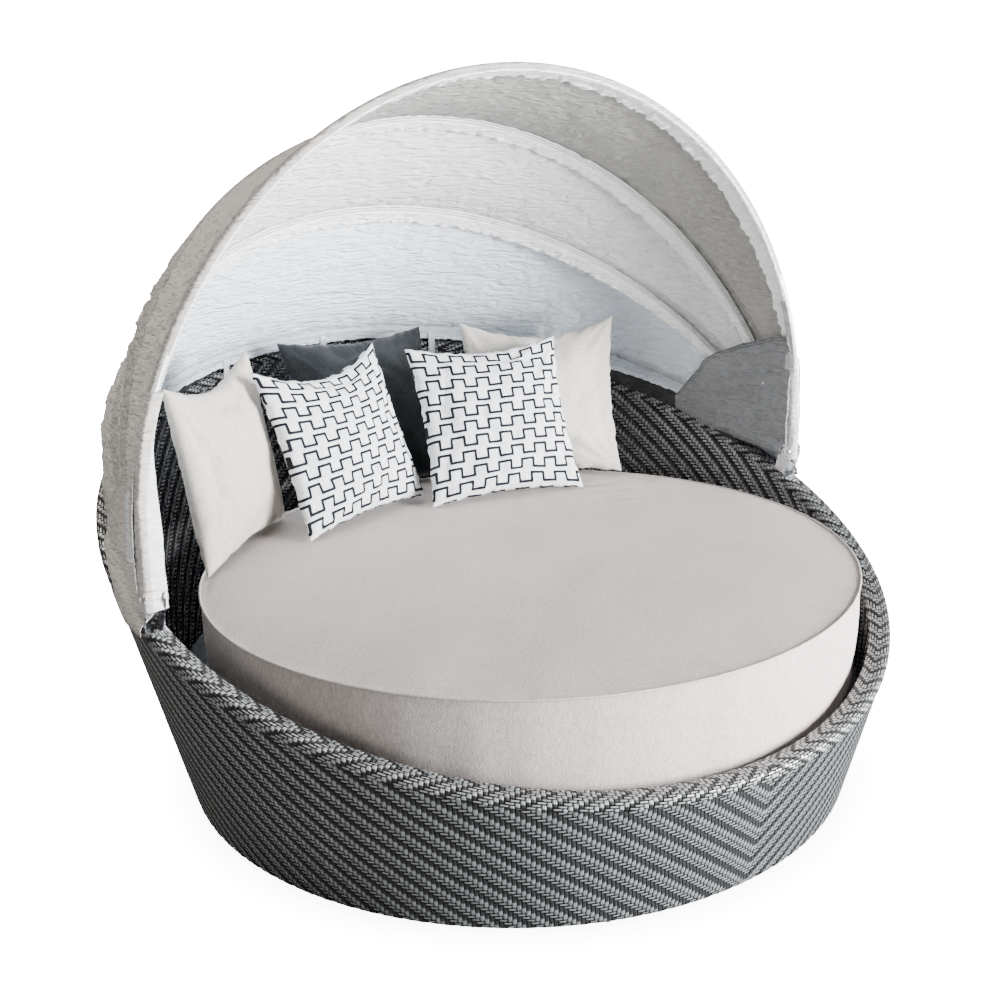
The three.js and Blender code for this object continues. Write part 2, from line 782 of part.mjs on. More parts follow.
strapTurns.forEach((turn, i) => add(`hem_strap_${i + 1}`, strap(turn), 'strap'));

// Mattress: an oval pad with a rounded lower edge, a seam round its upper edge and a crowned top.
const mattressRadius = outerRadius(deckHeight) - rimWidth - mattressWallGap;
const mattressForward = mattressForwardShare * mattressRadius;
const mattressSeamHeight = deckHeight + mattressThickness;

function mattressTop(reachShare) {
  return mattressSeamHeight + mattressCrown * (1 - reachShare ** 4);
}

function mattress() {
  const floor = deckHeight + seatGap;
  const profile = [new THREE.Vector2(0, floor)];
  for (let i = 0; i <= mattressEdgeSteps; i += 1) {
    const angle = (Math.PI / 2) * (i / mattressEdgeSteps);
    profile.push(new THREE.Vector2(
      mattressRadius - mattressSideDraw - mattressBottomRounding * (1 - Math.sin(angle)),
      floor + mattressBottomRounding * (1 - Math.cos(angle)),
    ));
  }
  const sideFoot = floor + mattressBottomRounding;
  for (let i = 1; i <= mattressSideSteps; i += 1) {
    const climbShare = i / mattressSideSteps;
    profile.push(new THREE.Vector2(
      mattressRadius - mattressSideDraw * (1 - climbShare) ** 2,
      sideFoot + (mattressSeamHeight - sideFoot) * climbShare,
    ));
  }
  for (let i = mattressTopSteps - 1; i >= 0; i -= 1) {
    const reachShare = Math.sin((Math.PI / 2) * (i / mattressTopSteps));
    profile.push(new THREE.Vector2(mattressRadius * reachShare, mattressTop(reachShare)));
  }
  const geometry = new THREE.LatheGeometry(profile, stationCount);
  geometry.rotateY(stationStep / 2);
  geometry.rotateX(Math.PI / 2);
  geometry.scale(1, mattressDepthShare, 1);
  geometry.translate(0, -mattressForward, 0);
  return geometry;
}

add('mattress', mattress(), 'upholstery');

// Cushion: two crowned faces that meet in a seam; the sides are drawn in between the corners.
function cushionBody(edge, thickness) {
  const points = [];
  const numbers = new Map();
  const triangles = [];
  const spread = (i) => Math.sin((Math.PI / 2) * ((2 * i) / cushionSteps - 1));
  const corner = (i, j, face) => {
    const onSeam = [0, cushionSteps].includes(i) || [0, cushionSteps].includes(j);
    const key = `${i} ${j} ${onSeam ? 0 : face}`;
    if (!numbers.has(key)) {
      const u = spread(i);
      const v = spread(j);
      const rise = onSeam ? 0 : (thickness / 2) * ((1 - u * u) * (1 - v * v)) ** cushionCrownShare;
      numbers.set(key, points.length);
      points.push(new THREE.Vector3(
        (edge / 2) * u * (1 - cushionDrawShare * (1 - v * v)),
        (edge / 2) * v * (1 - cushionDrawShare * (1 - u * u)),
        face * rise,
      ));
    }
    return numbers.get(key);
  };
  for (const face of [1, -1]) {
    for (let i = 0; i < cushionSteps; i += 1) {
      for (let j = 0; j < cushionSteps; j += 1) {
        const a = corner(i, j, face);
        const b = corner(i + 1, j, face);
        const c = corner(i + 1, j + 1, face);
        const d = corner(i, j + 1, face);
        // The diagonal runs towards the nearest corner, so that every corner has cloth on both sides.
        const towardsCorner = i < cushionSteps / 2 === j < cushionSteps / 2;
        const halves = towardsCorner ? [[a, b, c], [a, c, d]] : [[a, b, d], [b, c, d]];
        triangles.push(...halves.map((half) => (face > 0 ? half : half.reverse())));
      }
    }
  }
  return closedBody(points, triangles);
}

// Sets a cushion down until its lowest point is just above the mattress.
function cushion({ patterned, place, turn, lean, tilt }) {
  const edge = mattressRadius * (patterned ? patternedEdgeShare : plainEdgeShare);
  const thickness = edge * (patterned ? patternedThicknessShare : plainThicknessShare);
  const geometry = cushionBody(edge, thickness);
  geometry.rotateZ(THREE.MathUtils.degToRad(tilt));
  geometry.rotateX(Math.PI / 2 - THREE.MathUtils.degToRad(lean));
  geometry.rotateZ(THREE.MathUtils.degToRad(turn));
  geometry.translate(place[0] * mattressRadius, place[1] * mattressRadius, 0);
  const places = geometry.attributes.position;
  let lowest = Infinity;
  for (let i = 0; i < places.count; i += 1) {
    const reachShare = Math.hypot(
      places.getX(i) / mattressRadius,
      (places.getY(i) + mattressForward) / (mattressRadius * mattressDepthShare),
    );
    if (reachShare < flatShare) lowest = Math.min(lowest, places.getZ(i) - mattressTop(reachShare));
  }
  geometry.translate(0, 0, seatGap - lowest);
  return geometry;
}

for (const item of cushions) {
  add(item.name, cushion(item), item.patterned ? 'pattern' : 'upholstery');
}

group.updateMatrixWorld(true);

export default group;
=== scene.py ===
import math

import bmesh
import bpy
import numpy as np
from mathutils import Matrix, Vector, noise


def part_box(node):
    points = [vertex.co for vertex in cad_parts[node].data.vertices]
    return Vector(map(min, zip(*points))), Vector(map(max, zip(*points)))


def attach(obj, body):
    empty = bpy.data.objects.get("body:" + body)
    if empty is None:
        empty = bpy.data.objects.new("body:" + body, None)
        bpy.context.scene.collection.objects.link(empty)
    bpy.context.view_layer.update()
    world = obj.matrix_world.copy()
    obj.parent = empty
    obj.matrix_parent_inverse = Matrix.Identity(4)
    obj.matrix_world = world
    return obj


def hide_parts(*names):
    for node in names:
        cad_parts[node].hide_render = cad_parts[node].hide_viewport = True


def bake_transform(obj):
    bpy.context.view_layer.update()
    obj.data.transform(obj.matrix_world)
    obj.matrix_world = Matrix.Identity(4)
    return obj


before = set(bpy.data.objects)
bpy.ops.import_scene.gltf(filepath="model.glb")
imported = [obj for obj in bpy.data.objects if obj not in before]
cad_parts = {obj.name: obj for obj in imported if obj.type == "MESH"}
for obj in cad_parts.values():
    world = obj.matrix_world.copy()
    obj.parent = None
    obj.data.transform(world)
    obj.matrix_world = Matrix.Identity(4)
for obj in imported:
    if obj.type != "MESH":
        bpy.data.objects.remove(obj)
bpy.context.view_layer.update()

scene = bpy.context.scene

# Studio. A camera stands at the front left of the daybed, a little above it. A large soft light comes from
# the front right, weaker ones fill the left, the back and the top, and the floor is pale and plain. For the
# camera the floor glows white, less so close round the daybed's foot: a painted shade there, on top of its
# real shadow.
aim = Vector((0.0, 0.0568, 0.5918))
turn, tip, lean = math.radians(-34.41), math.radians(17.43), math.radians(-1.05)
camera_distance, camera_lens = 3.0564, 47.07
back = Vector((math.sin(turn) * math.cos(tip), -math.cos(turn) * math.cos(tip), math.sin(tip)))
level = Vector((math.cos(turn), math.sin(turn), 0.0))
upward = back.cross(level)
across = level * math.cos(lean) + upward * math.sin(lean)
upward = upward * math.cos(lean) - level * math.sin(lean)
camera_data = bpy.data.cameras.new("studio_camera")
camera_data.sensor_width = 36.0
camera_data.lens = camera_lens
camera = bpy.data.objects.new("studio_camera", camera_data)
facing = Matrix((across, upward, back)).transposed().to_4x4()
camera.matrix_world = Matrix.Translation(aim + back * camera_distance) @ facing
scene.collection.objects.link(camera)
scene.camera = camera


def soft_light(name, place, target, size, watts, colour):
    lamp = bpy.data.lights.new(name, "AREA")
    lamp.shape = "RECTANGLE"
    lamp.size, lamp.size_y = size
    lamp.energy = watts
    lamp.color = colour
    holder = bpy.data.objects.new(name, lamp)
    holder.location = place
    holder.rotation_euler = (Vector(target) - Vector(place)).to_track_quat("-Z", "Y").to_euler()
    scene.collection.objects.link(holder)


soft_light("key_light", (2.8, -4.4, 1.35), (0.0, 0.0, 0.6), (2.6, 2.0), 1750.0, (0.985, 0.99, 1.0))
soft_light("low_light", (2.3, -2.6, 0.16), (0.4, -0.4, 0.45), (2.4, 0.4), 170.0, (0.97, 0.985, 1.0))
soft_light("left_light", (-2.0, 2.9, 3.9), (0.0, 0.0, 0.6), (2.4, 2.0), 170.0, (1.0, 0.94, 0.87))
soft_light("fill_light", (-3.1, -2.3, 1.1), (0.0, 0.0, 0.6), (2.0, 1.4), 42.0, (1.0, 0.99, 0.98))
soft_light("top_light", (-0.4, -1.0, 4.4), (0.0, 0.0, 0.4), (2.2, 2.2), 45.0, (1.0, 0.96, 0.94))


def wire(tree, kind, inputs=(), **settings):
    """Adds a node, sets its options, and fills or links its inputs."""
    node = tree.nodes.new(kind)
    for key, value in settings.items():
        setattr(node, key, value)
    for key, value in dict(inputs).items():
        if isinstance(value, bpy.types.NodeSocket):
            tree.links.new(value, node.inputs[key])
        else:
            node.inputs[key].default_value = value
    return node


def calc(tree, operation, *values, clamp=False):
    return wire(tree, "ShaderNodeMath", enumerate(values), operation=operation, use_clamp=clamp).outputs[0]


def mixed(tree, share, first, second):
    return wire(tree, "ShaderNodeMix", {0: share, 6: first, 7: second}, data_type="RGBA").outputs[2]


def ramped(tree, value, low, high, low_out=0.0, high_out=1.0):
    """A smooth step from one value to another."""
    inputs = {0: value, 1: low, 2: high, 3: low_out, 4: high_out}
    return wire(tree, "ShaderNodeMapRange", inputs, interpolation_type="SMOOTHSTEP").outputs[0]


def finish_of(name, metallic=0.0, specular=0.5, **constants):
    """A new material with its main shader; constant values sit on the shader's own sockets."""
    material = bpy.data.materials.new(name)
    material.use_nodes = True
    tree = material.node_tree
    shader = tree.nodes["Principled BSDF"]
    shader.inputs["Metallic"].default_value = metallic
    shader.inputs["Specular IOR Level"].default_value = specular
    for key, value in constants.items():
        shader.inputs[key.replace("_", " ")].default_value = value
    return material, tree, shader


def places(tree):
    return wire(tree, "ShaderNodeTexCoord").outputs["Object"]


def speckle(tree, scale, detail=2.0, roughness=0.5, where=None):
    inputs = {"Vector": where or places(tree), "Scale": scale, "Detail": detail, "Roughness": roughness}
    return wire(tree, "ShaderNodeTexNoise", inputs).outputs["Fac"]


def bumped(tree, shader, height, distance, strength=1.0):
    bump = wire(tree, "ShaderNodeBump", {"Height": height, "Distance": distance, "Strength": strength})
    tree.links.new(bump.outputs["Normal"], shader.inputs["Normal"])


def link_to(tree, value, shader, socket):
    tree.links.new(value, shader.inputs[socket])


def mesh_object(name, points, faces, smooth=True):
    mesh = bpy.data.meshes.new(name)
    mesh.from_pydata([tuple(p) for p in points], [], [tuple(f) for f in faces])
    mesh.validate()
    if smooth:
        mesh.shade_smooth()
    piece = bpy.data.objects.new(name, mesh)
    scene.collection.objects.link(piece)
    return piece


sky_light, sky_seen = 0.075, 30.0
world = bpy.data.worlds.new("studio_world")
world.use_nodes = True
sky = world.node_tree.nodes["Background"]
sky.inputs["Color"].default_value = (0.97, 0.98, 1.0, 1.0)
seen = wire(world.node_tree, "ShaderNodeLightPath").outputs["Is Camera Ray"]
strength = {"Value": seen, "To Min": sky_light, "To Max": sky_seen}
strength = wire(world.node_tree, "ShaderNodeMapRange", strength)
world.node_tree.links.new(strength.outputs["Result"], sky.inputs["Strength"])
scene.world = world

floor_reach, floor_drop = 14.0, 0.0005
glow_near, glow_far, glow_least, glow_strength = 0.70, 1.05, 0.2, 34.0
floor_edges = (-floor_reach, floor_reach)
floor_corners = [(x, y, -floor_drop) for y in floor_edges for x in floor_edges]
floor = mesh_object("studio_floor", floor_corners, [(0, 1, 3, 2)])
floor_finish, tree, shader = finish_of("pale_floor", specular=0.2, Roughness=0.75)
tone = mixed(tree, speckle(tree, 3.0), (0.30, 0.30, 0.30, 1.0), (0.33, 0.33, 0.33, 1.0))
link_to(tree, tone, shader, "Base Color")
seen = wire(tree, "ShaderNodeLightPath").outputs["Is Camera Ray"]
from_middle = wire(tree, "ShaderNodeVectorMath", {0: places(tree)}, operation="LENGTH").outputs["Value"]
# The glow is least close round the daybed's foot, so the floor is darker there: painted shade beside the
# foot, added to its real shadow.
glow = calc(tree, "MULTIPLY", seen, ramped(tree, from_middle, glow_near, glow_far, glow_least, 1.0))
link_to(tree, mixed(tree, glow, (0.0, 0.0, 0.0, 1.0), (1.0, 1.0, 1.0, 1.0)), shader, "Emission Color")
shader.inputs["Emission Strength"].default_value = glow_strength
floor.data.materials.append(floor_finish)

# Frame. Round and square tubes, powder coated, carry the seat deck and the rim; they are out of sight under
# the weave. The canopy's bows are bent round tube with a lighter coat and turn on a bolt at each side.


def grained(name, grain_scale, dark, light, patch_scale, dull, depth, **settings):
    """A finish with fine grain in its colour and relief, and with larger patches of more and less gloss."""
    material, tree, shader = finish_of(name, **settings)
    grain = speckle(tree, grain_scale)
    link_to(tree, mixed(tree, grain, dark, light), shader, "Base Color")
    link_to(tree, ramped(tree, speckle(tree, patch_scale), 0.3, 0.7, *dull), shader, "Roughness")
    bumped(tree, shader, grain, depth)
    return material


def dress(node, material):
    """Gives a solid of the frame its finish in place of the plain one."""
    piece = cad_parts[node]
    piece.data.materials.clear()
    piece.data.materials.append(material)
    for face in piece.data.polygons:
        face.material_index = 0


frame_coat = grained("powder_coat", 900.0, (0.09, 0.092, 0.095, 1.0), (0.13, 0.132, 0.136, 1.0),
                     14.0, (0.38, 0.52), 0.0001, metallic=0.35, Roughness=0.45)
bow_coat = grained("bow_coat", 700.0, (0.42, 0.43, 0.44, 1.0), (0.5, 0.51, 0.52, 1.0),
                   20.0, (0.3, 0.45), 0.00008, metallic=0.8, Roughness=0.35)
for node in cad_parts:
    if node.startswith(("upright_", "centre_leg", "seat_deck")) or node.endswith(("_ring", "_beam")):
        dress(node, frame_coat)
    if node.endswith("_bow"):
        dress(node, bow_coat)

# Glides and spacers. Moulded black plastic: feet under the base ring, and rings between the bow ends.
plastic = grained("black_plastic", 1200.0, (0.012, 0.012, 0.013, 1.0), (0.022, 0.022, 0.024, 1.0),
                  60.0, (0.45, 0.65), 0.0001, Roughness=0.55)
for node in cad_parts:
    if node.startswith("glide_") or "_spacer_" in node:
        dress(node, plastic)

# Brackets. A polished steel channel is screwed to the rim on each side, with a bolt, a nut and two screws.
steel, tree, shader = finish_of("polished_steel", metallic=1.0, Roughness=0.16)
scuffs = speckle(tree, 160.0, 4.0)
link_to(tree, mixed(tree, scuffs, (0.62, 0.63, 0.65, 1.0), (0.74, 0.75, 0.77, 1.0)), shader, "Base Color")
link_to(tree, ramped(tree, scuffs, 0.35, 0.7, 0.1, 0.3), shader, "Roughness")
bumped(tree, shader, scuffs, 0.00005)
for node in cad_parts:
    if node.endswith(("_bracket", "_bolt", "_nut", "_screw")):
        dress(node, steel)

# Woven walls. Flat resin strand is woven over the frame in a 4/2 twill: upright strands go over four and
# under two, and the twill's direction turns round at the middle of the front and of the rear.
base_radius, flare = 0.770, 0.2463
side_height, rim_rise, rim_bow = 0.528, 0.273, 0.034
rim_width, cap_height = 0.045, 0.016
deck_top, weave_foot = 0.2353, 0.006
strand_count = 568
pick_height = 0.0073
over, under = 4, 2
strand_relief, strand_bump = 0.0024, 0.004
plain_depth, under_cap, weld_distance = 0.0035, 0.004, 0.00005
# Near black painted into the hollows between strands: painted shade.
hollow_shade_colour = (0.0015, 0.0016, 0.0018, 1.0)
outer_colour, inner_colour = (0.15, 0.165, 0.17, 1.0), (0.15, 0.154, 0.157, 1.0)


def outer_radius(height):
    return base_radius + flare * height


def rim_height(angle):
    rear = np.sin(angle)
    return side_height + rim_rise * rear + rim_bow * rear * rear


def strand_at(x, y):
    """Strands counted from the middle of the front, alike to both sides."""
    return np.abs(np.arctan2(x, -y)) * strand_count / (2 * math.pi)


def twill_relief(strand, pick):
    """How far the weave stands out at a place, from 0 in a hollow to 1 on a strand."""
    phase = np.mod(np.floor(pick) - np.floor(strand), over + under)
    climb = (phase + pick - np.floor(pick)) / over
    cross = (over + under - 1 - phase + strand - np.floor(strand)) / under
    upright = 1 - 0.75 * (2 * climb - 1) ** 2
    level = 0.95 - 0.7 * (2 * cross - 1) ** 2
    return np.where(phase < over, upright, level)


def closed_faces(rows, columns):
    """Faces over a grid of points that closes on itself both ways."""
    lower = np.arange(rows)[:, None] * columns + np.arange(columns)[None, :]
    upper = np.roll(lower, -1, 0)
    return np.stack([lower, np.roll(lower, -1, 1), np.roll(upper, -1, 1), upper], -1).reshape(-1, 4)


def woven_wall(name, node, inset, side, bottom):
    """A wall of the basket. side is 1 where the weave faces outwards and -1 where it faces inwards."""
    columns = strand_count * 2
    angles = (np.arange(columns) + 0.5) / columns * 2 * math.pi - math.pi / 2
    tops = rim_height(angles) - cap_height + under_cap
    rows = np.arange(bottom, side_height + rim_rise + rim_bow, pick_height)
    height = np.minimum(rows[:, None], tops[None, :])
    x = np.cos(angles)[None, :] * np.ones_like(height)
    y = np.sin(angles)[None, :] * np.ones_like(height)
    raised = twill_relief(strand_at(x, y), height / pick_height) * strand_relief
    raised[rows[:, None] >= tops[None, :] - 1e-9] = 0.0
    radius = outer_radius(height) - inset + side * (raised - strand_relief)
    woven = np.stack([x * radius, y * radius, height], -1)
    plain_height = np.stack([height[-1], height[0]])
    plain_radius = outer_radius(plain_height) - inset - side * plain_depth
    plain = np.stack([x[:2] * plain_radius, y[:2] * plain_radius, plain_height], -1)
    points = np.concatenate([woven, plain]).reshape(-1, 3)
    quads = closed_faces(len(rows) + 2, columns)
    if side < 0:
        quads = quads[:, ::-1]
    piece = mesh_object(name, points, quads.tolist())
    body = bmesh.new()
    body.from_mesh(piece.data)
    bmesh.ops.remove_doubles(body, verts=body.verts, dist=weld_distance)
    body.to_mesh(piece.data)
    body.free()
    piece.data.shade_smooth()
    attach(piece, "base")
    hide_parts(node)
    return piece


outer_wall = woven_wall("outer_weave", "outer_wicker_wall", 0.0, 1, weave_foot)
inner_wall = woven_wall("inner_weave", "inner_wicker_wall", rim_width, -1, deck_top)


def new_group(name, takes, gives):
    """An empty node group: the group, the values that it takes and the values that it gives."""
    group = bpy.data.node_groups.new(name, "ShaderNodeTree")
    for way, sockets in (("INPUT", takes), ("OUTPUT", gives)):
        for socket in sockets:
            group.interface.new_socket(socket, in_out=way, socket_type="NodeSocketFloat")
    return group, group.nodes.new("NodeGroupInput").outputs, group.nodes.new("NodeGroupOutput").inputs


def group_of(tree, group, **inputs):
    return wire(tree, "ShaderNodeGroup", inputs, node_tree=group).outputs


weave, given, result = new_group("twill_weave", ("Strand", "Pick", "Over", "Under"), ("Height", "Tone"))


def rounded(tree, share, power):
    """1 in the middle of a strand or float and 0 at both ends, from a share of the way across."""
    away = calc(tree, "ABSOLUTE", calc(tree, "MULTIPLY_ADD", share, 2.0, -1.0))
    return calc(tree, "SUBTRACT", 1.0, calc(tree, "POWER", away, power))


strand_number = calc(weave, "FLOOR", given["Strand"])
strand_share = calc(weave, "FRACT", given["Strand"])
pick_number = calc(weave, "FLOOR", given["Pick"])
pick_share = calc(weave, "FRACT", given["Pick"])
repeat = calc(weave, "ADD", given["Over"], given["Under"])
phase = calc(weave, "FLOORED_MODULO", calc(weave, "SUBTRACT", pick_number, strand_number), repeat)
is_level = calc(weave, "GREATER_THAN", phase, calc(weave, "SUBTRACT", given["Over"], 0.5))
climb = calc(weave, "DIVIDE", calc(weave, "ADD", phase, pick_share), given["Over"])
left_over = calc(weave, "SUBTRACT", calc(weave, "SUBTRACT", repeat, 1.0), phase)
crossing = calc(weave, "DIVIDE", calc(weave, "ADD", left_over, strand_share), given["Under"])
ribs = calc(weave, "COSINE", calc(weave, "MULTIPLY", strand_share, 6 * math.pi))
upright = calc(weave, "MULTIPLY", rounded(weave, strand_share, 2.6), rounded(weave, climb, 2.4))
upright = calc(weave, "MULTIPLY_ADD", ribs, 0.07, upright)
levelled = calc(weave, "MULTIPLY", rounded(weave, pick_share, 2.4), rounded(weave, crossing, 5.0))
height = wire(weave, "ShaderNodeMix", {0: is_level, 2: upright, 3: levelled}).outputs[0]
# The tone is painted light and shade: each upright float is lit on its lower half and shaded on its upper
# half, as if by a low light, and every strand fades to near black where it dives into the hollows. Each
# strand's own tone also differs at random.
float_painted_light = ramped(weave, climb, 0.40, 0.60, 1.0, 0.07)
upright_painted_light = calc(weave, "MULTIPLY", ramped(weave, upright, 0.10, 0.42, 0.0, 1.0), float_painted_light)
level_painted_shade = ramped(weave, levelled, 0.5, 0.92, 0.0, 1.0)
face_painted_light = wire(weave, "ShaderNodeMix", {0: is_level, 2: upright_painted_light, 3: level_painted_shade}).outputs[0]
pick_side = calc(weave, "ADD", calc(weave, "MULTIPLY", pick_number, is_level), 0.5)
strand_side = calc(weave, "MULTIPLY_ADD", strand_number, calc(weave, "SUBTRACT", 1.0, is_level), 0.5)
own = wire(weave, "ShaderNodeCombineXYZ", {0: pick_side, 1: strand_side})
lot = wire(weave, "ShaderNodeTexWhiteNoise", {"Vector": own.outputs[0]}, noise_dimensions="2D")
tone = calc(weave, "MULTIPLY", face_painted_light, calc(weave, "MULTIPLY_ADD", lot.outputs["Value"], 0.3, 0.8))
weave.links.new(height, result["Height"])
weave.links.new(tone, result["Tone"])


def resin_strand(name, strand_and_pick, over_count, under_count, light):
    """Dark resin strand with a satin gloss; strand_and_pick(tree) gives the two counts."""
    material, tree, shader = finish_of(name, Roughness=0.45, specular=0.15, Coat_Roughness=0.42, Coat_IOR=2.1)
    strand, pick = strand_and_pick(tree)
    out = group_of(tree, weave, Strand=strand, Pick=pick, Over=over_count, Under=under_count)
    # Painted light and shade: the colour runs from near black in the hollows up to the strand's colour on the
    # lit lower halves of the floats, and the coat follows the same tone.
    link_to(tree, mixed(tree, out["Tone"], hollow_shade_colour, light), shader, "Base Color")
    link_to(tree, out["Tone"], shader, "Coat Weight")
    link_to(tree, ramped(tree, speckle(tree, 220.0), 0.3, 0.7, 0.38, 0.5), shader, "Roughness")
    bumped(tree, shader, out["Height"], strand_bump)
    return material


def wall_counts(tree):
    place = wire(tree, "ShaderNodeSeparateXYZ", {0: places(tree)}).outputs
    forward = calc(tree, "MULTIPLY", place["Y"], -1.0)
    angle = calc(tree, "ABSOLUTE", calc(tree, "ARCTAN2", place["X"], forward))
    strand = calc(tree, "MULTIPLY", angle, strand_count / (2 * math.pi))
    return strand, calc(tree, "DIVIDE", place["Z"], pick_height)


outer_wall.data.materials.append(resin_strand("outer_strand", wall_counts, over, under, outer_colour))
inner_wall.data.materials.append(resin_strand("inner_strand", wall_counts, over, under, inner_colour))

# Rim. The same strand is wrapped over the round rim bar in a close herringbone, a little proud of both walls.
wrap_proud = 0.0012
wrap_picks, picks_before = 7, 100.0
wrap_over, wrap_under = 3, 2
wrap_rows, wrap_columns = 34, strand_count * 4
under_drop, under_spread = 0.001, 0.001
# The same strand as the walls, painted lighter: a painted reflection of the bright studio on the rim's
# upturned strands.
rim_lit_colour = (0.24, 0.252, 0.256, 1.0)
wrap_section = [(-0.001, -0.006), (-0.0012, 0.002), (-0.0005, 0.009), (0.003, 0.0135), (0.010, 0.0158),
                (0.0225, 0.0166), (0.035, 0.0158), (0.042, 0.0135), (0.0455, 0.009), (0.0462, 0.002),
                (0.046, -0.006)]


def walked_to(corners):
    """The way walked along a line to each of its corners."""
    return np.r_[0, np.cumsum(np.linalg.norm(np.diff(corners, axis=0), axis=1))]


def along_line(corners, count):
    """Places spread evenly along a line of corners, with the way walked to each."""
    corners = np.array(corners)
    steps = walked_to(corners)
    walked = np.linspace(0, steps[-1], count)
    return np.stack([np.interp(walked, steps, corners[:, k]) for k in range(2)], -1), walked


def map_places(piece, name, values):
    """Writes a flat place for every point of a piece."""
    layer = piece.data.uv_layers.new(name=name)
    corner = np.empty(len(piece.data.loops), np.int32)
    piece.data.loops.foreach_get("vertex_index", corner)
    layer.data.foreach_set("uv", np.asarray(values, np.float32)[corner].ravel())


def rim_wrap():
    """The wrapped rim as a closed ring, with the strand and the pick of every place written on it."""
    angles = (np.arange(wrap_columns) + 0.5) / wrap_columns * 2 * math.pi - math.pi / 2
    section, walked = along_line(wrap_section, wrap_rows)
    bottoms = rim_height(angles) - cap_height
    strands = np.abs(np.mod(angles + 1.5 * math.pi, 2 * math.pi) - math.pi) * strand_count / (2 * math.pi)
    picks = np.abs(walked / walked[-1] * 2 - 1) * wrap_picks + picks_before
    relief = twill_relief(*np.broadcast_arrays(strands[None, :], picks[:, None]))
    slope = np.gradient(section, axis=0)
    normal = np.stack([slope[:, 1], -slope[:, 0]], -1)
    normal /= np.linalg.norm(normal, axis=1)[:, None]
    lifted = -(relief - 0.8) * wrap_proud
    inward = section[:, 0][:, None] + normal[:, 0][:, None] * lifted
    upwards = section[:, 1][:, None] + normal[:, 1][:, None] * lifted
    radius = outer_radius(bottoms)[None, :] - inward
    points = np.stack([np.cos(angles) * radius, np.sin(angles) * radius, bottoms[None, :] + upwards], -1)
    under_side = points[[-1, 0]] - np.array([0, 0, under_drop])
    under_side[0, :, :2] *= 1 + under_spread
    under_side[1, :, :2] *= 1 - under_spread
    points = np.concatenate([points, under_side]).reshape(-1, 3)
    bands = wrap_rows + 2
    piece = mesh_object("rim_braid", points, closed_faces(bands, wrap_columns).tolist())
    strand_of = np.tile(strands, bands)
    pick_of = np.repeat(np.r_[picks, picks[-1], picks[0]], wrap_columns)
    map_places(piece, "braid", np.stack([strand_of, pick_of], -1))
    return piece


def flat_place(tree, name):
    """The two values of a place that map_places wrote."""
    place = wire(tree, "ShaderNodeUVMap", uv_map=name).outputs[0]
    split = wire(tree, "ShaderNodeSeparateXYZ", {0: place}).outputs
    return split["X"], split["Y"]


def braid_counts(tree):
    return flat_place(tree, "braid")


rim_braid = rim_wrap()
rim_braid.data.materials.append(resin_strand("rim_braid", braid_counts, wrap_over, wrap_under, rim_lit_colour))
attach(rim_braid, "base")
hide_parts("rim_wrap")

# Bow sleeves. Thin coated polyester is sewn into a sleeve over each bow; the sleeve is cut a little long and
# puckers along the tube. The front bow's sleeve is a hem that is turned over the tube.
axis_y, axis_z = -0.030417, 0.584268
ridge_offset = 0.010
bow_lines = {
    "hem_bow": (0.85977, 0.996, 15.72),
    "third_bow": (0.87037, 0.930, 42.5),
    "second_bow": (0.88097, 0.954, 64.0),
    "front_bow": (0.89157, 0.967, 89.8),
}
bow_bodies = {bow: "base" if bow == "hem_bow" else bow for bow in bow_lines}
sleeve_start, sleeve_trim, sleeve_rings, band_points = 0.036, 0.155, 900, 46
sleeve_pucker, sleeve_wrinkle = 0.045, 0.0011
full_width_at, least_width = 0.62, 0.42


def arch_line(bow, offset, start, count, trim=0.0):
    """A bow's line from left to right in its own plane: across, away from the axis, and both outward shares.
    It starts at a distance from the axis, and trim is cut off each end of it."""
    half_width, reach, _ = bow_lines[bow]
    leg = reach - half_width - start
    round_part = half_width + offset
    walked = np.linspace(trim, 2 * leg + math.pi * round_part - trim, count)
    turned = np.clip((walked - leg) / round_part, 0, math.pi)
    past = np.clip(walked - leg - math.pi * round_part, 0, leg)
    side = -np.cos(turned)
    away = start + np.minimum(walked, leg) + round_part * np.sin(turned) - past
    return side * round_part, away, side, np.sin(turned), walked - trim


def about_axis(x, away, angle):
    """A place given by its side, its distance from the pivot axis and its angle in degrees."""
    angle = np.radians(angle)
    return np.stack([x + 0 * away, axis_y + away * np.cos(angle), axis_z + away * np.sin(angle)], -1)


def bow_side(angle, away, offset):
    """How far from the middle a bow's line lies, at an angle and a distance from the pivot axis."""
    lines = list(bow_lines.values())
    slopes = [line[2] for line in lines]
    half_width = np.interp(angle, slopes, [line[0] for line in lines]) + offset
    leg = np.interp(angle, slopes, [line[1] - line[0] for line in lines])
    return np.sqrt(half_width ** 2 - np.maximum(away - leg, 0) ** 2)


def rumple(points, size, seed, detail=3):
    """Uneven cloth relief at each place, about -1 to 1."""
    flat = points.reshape(-1, 3) / size + seed * 7.31
    made = [noise.fractal(tuple(p), 1.0, 2.1, detail, noise_basis="PERLIN_ORIGINAL") for p in flat.tolist()]
    return np.array(made).reshape(points.shape[:-1])


def fold_lines(relief, sharpness, power=2):
    """1 along the lines where a relief turns from hill to hollow, and 0 away from them."""
    return np.clip(1 - np.abs(relief) * sharpness, 0, 1) ** power


def uneven_waves(walked, pitch, slow, quick, slow_shift=0.0, quick_shift=0.0):
    """The phase of puckers that come now closer and now wider than their pitch. slow and quick are two
    sways, each given by its depth and its rate per metre."""
    phase = 2 * math.pi * walked / pitch
    phase = phase + slow[0] * np.sin(walked * slow[1] + slow_shift)
    return phase + quick[0] * np.sin(walked * quick[1] + quick_shift)


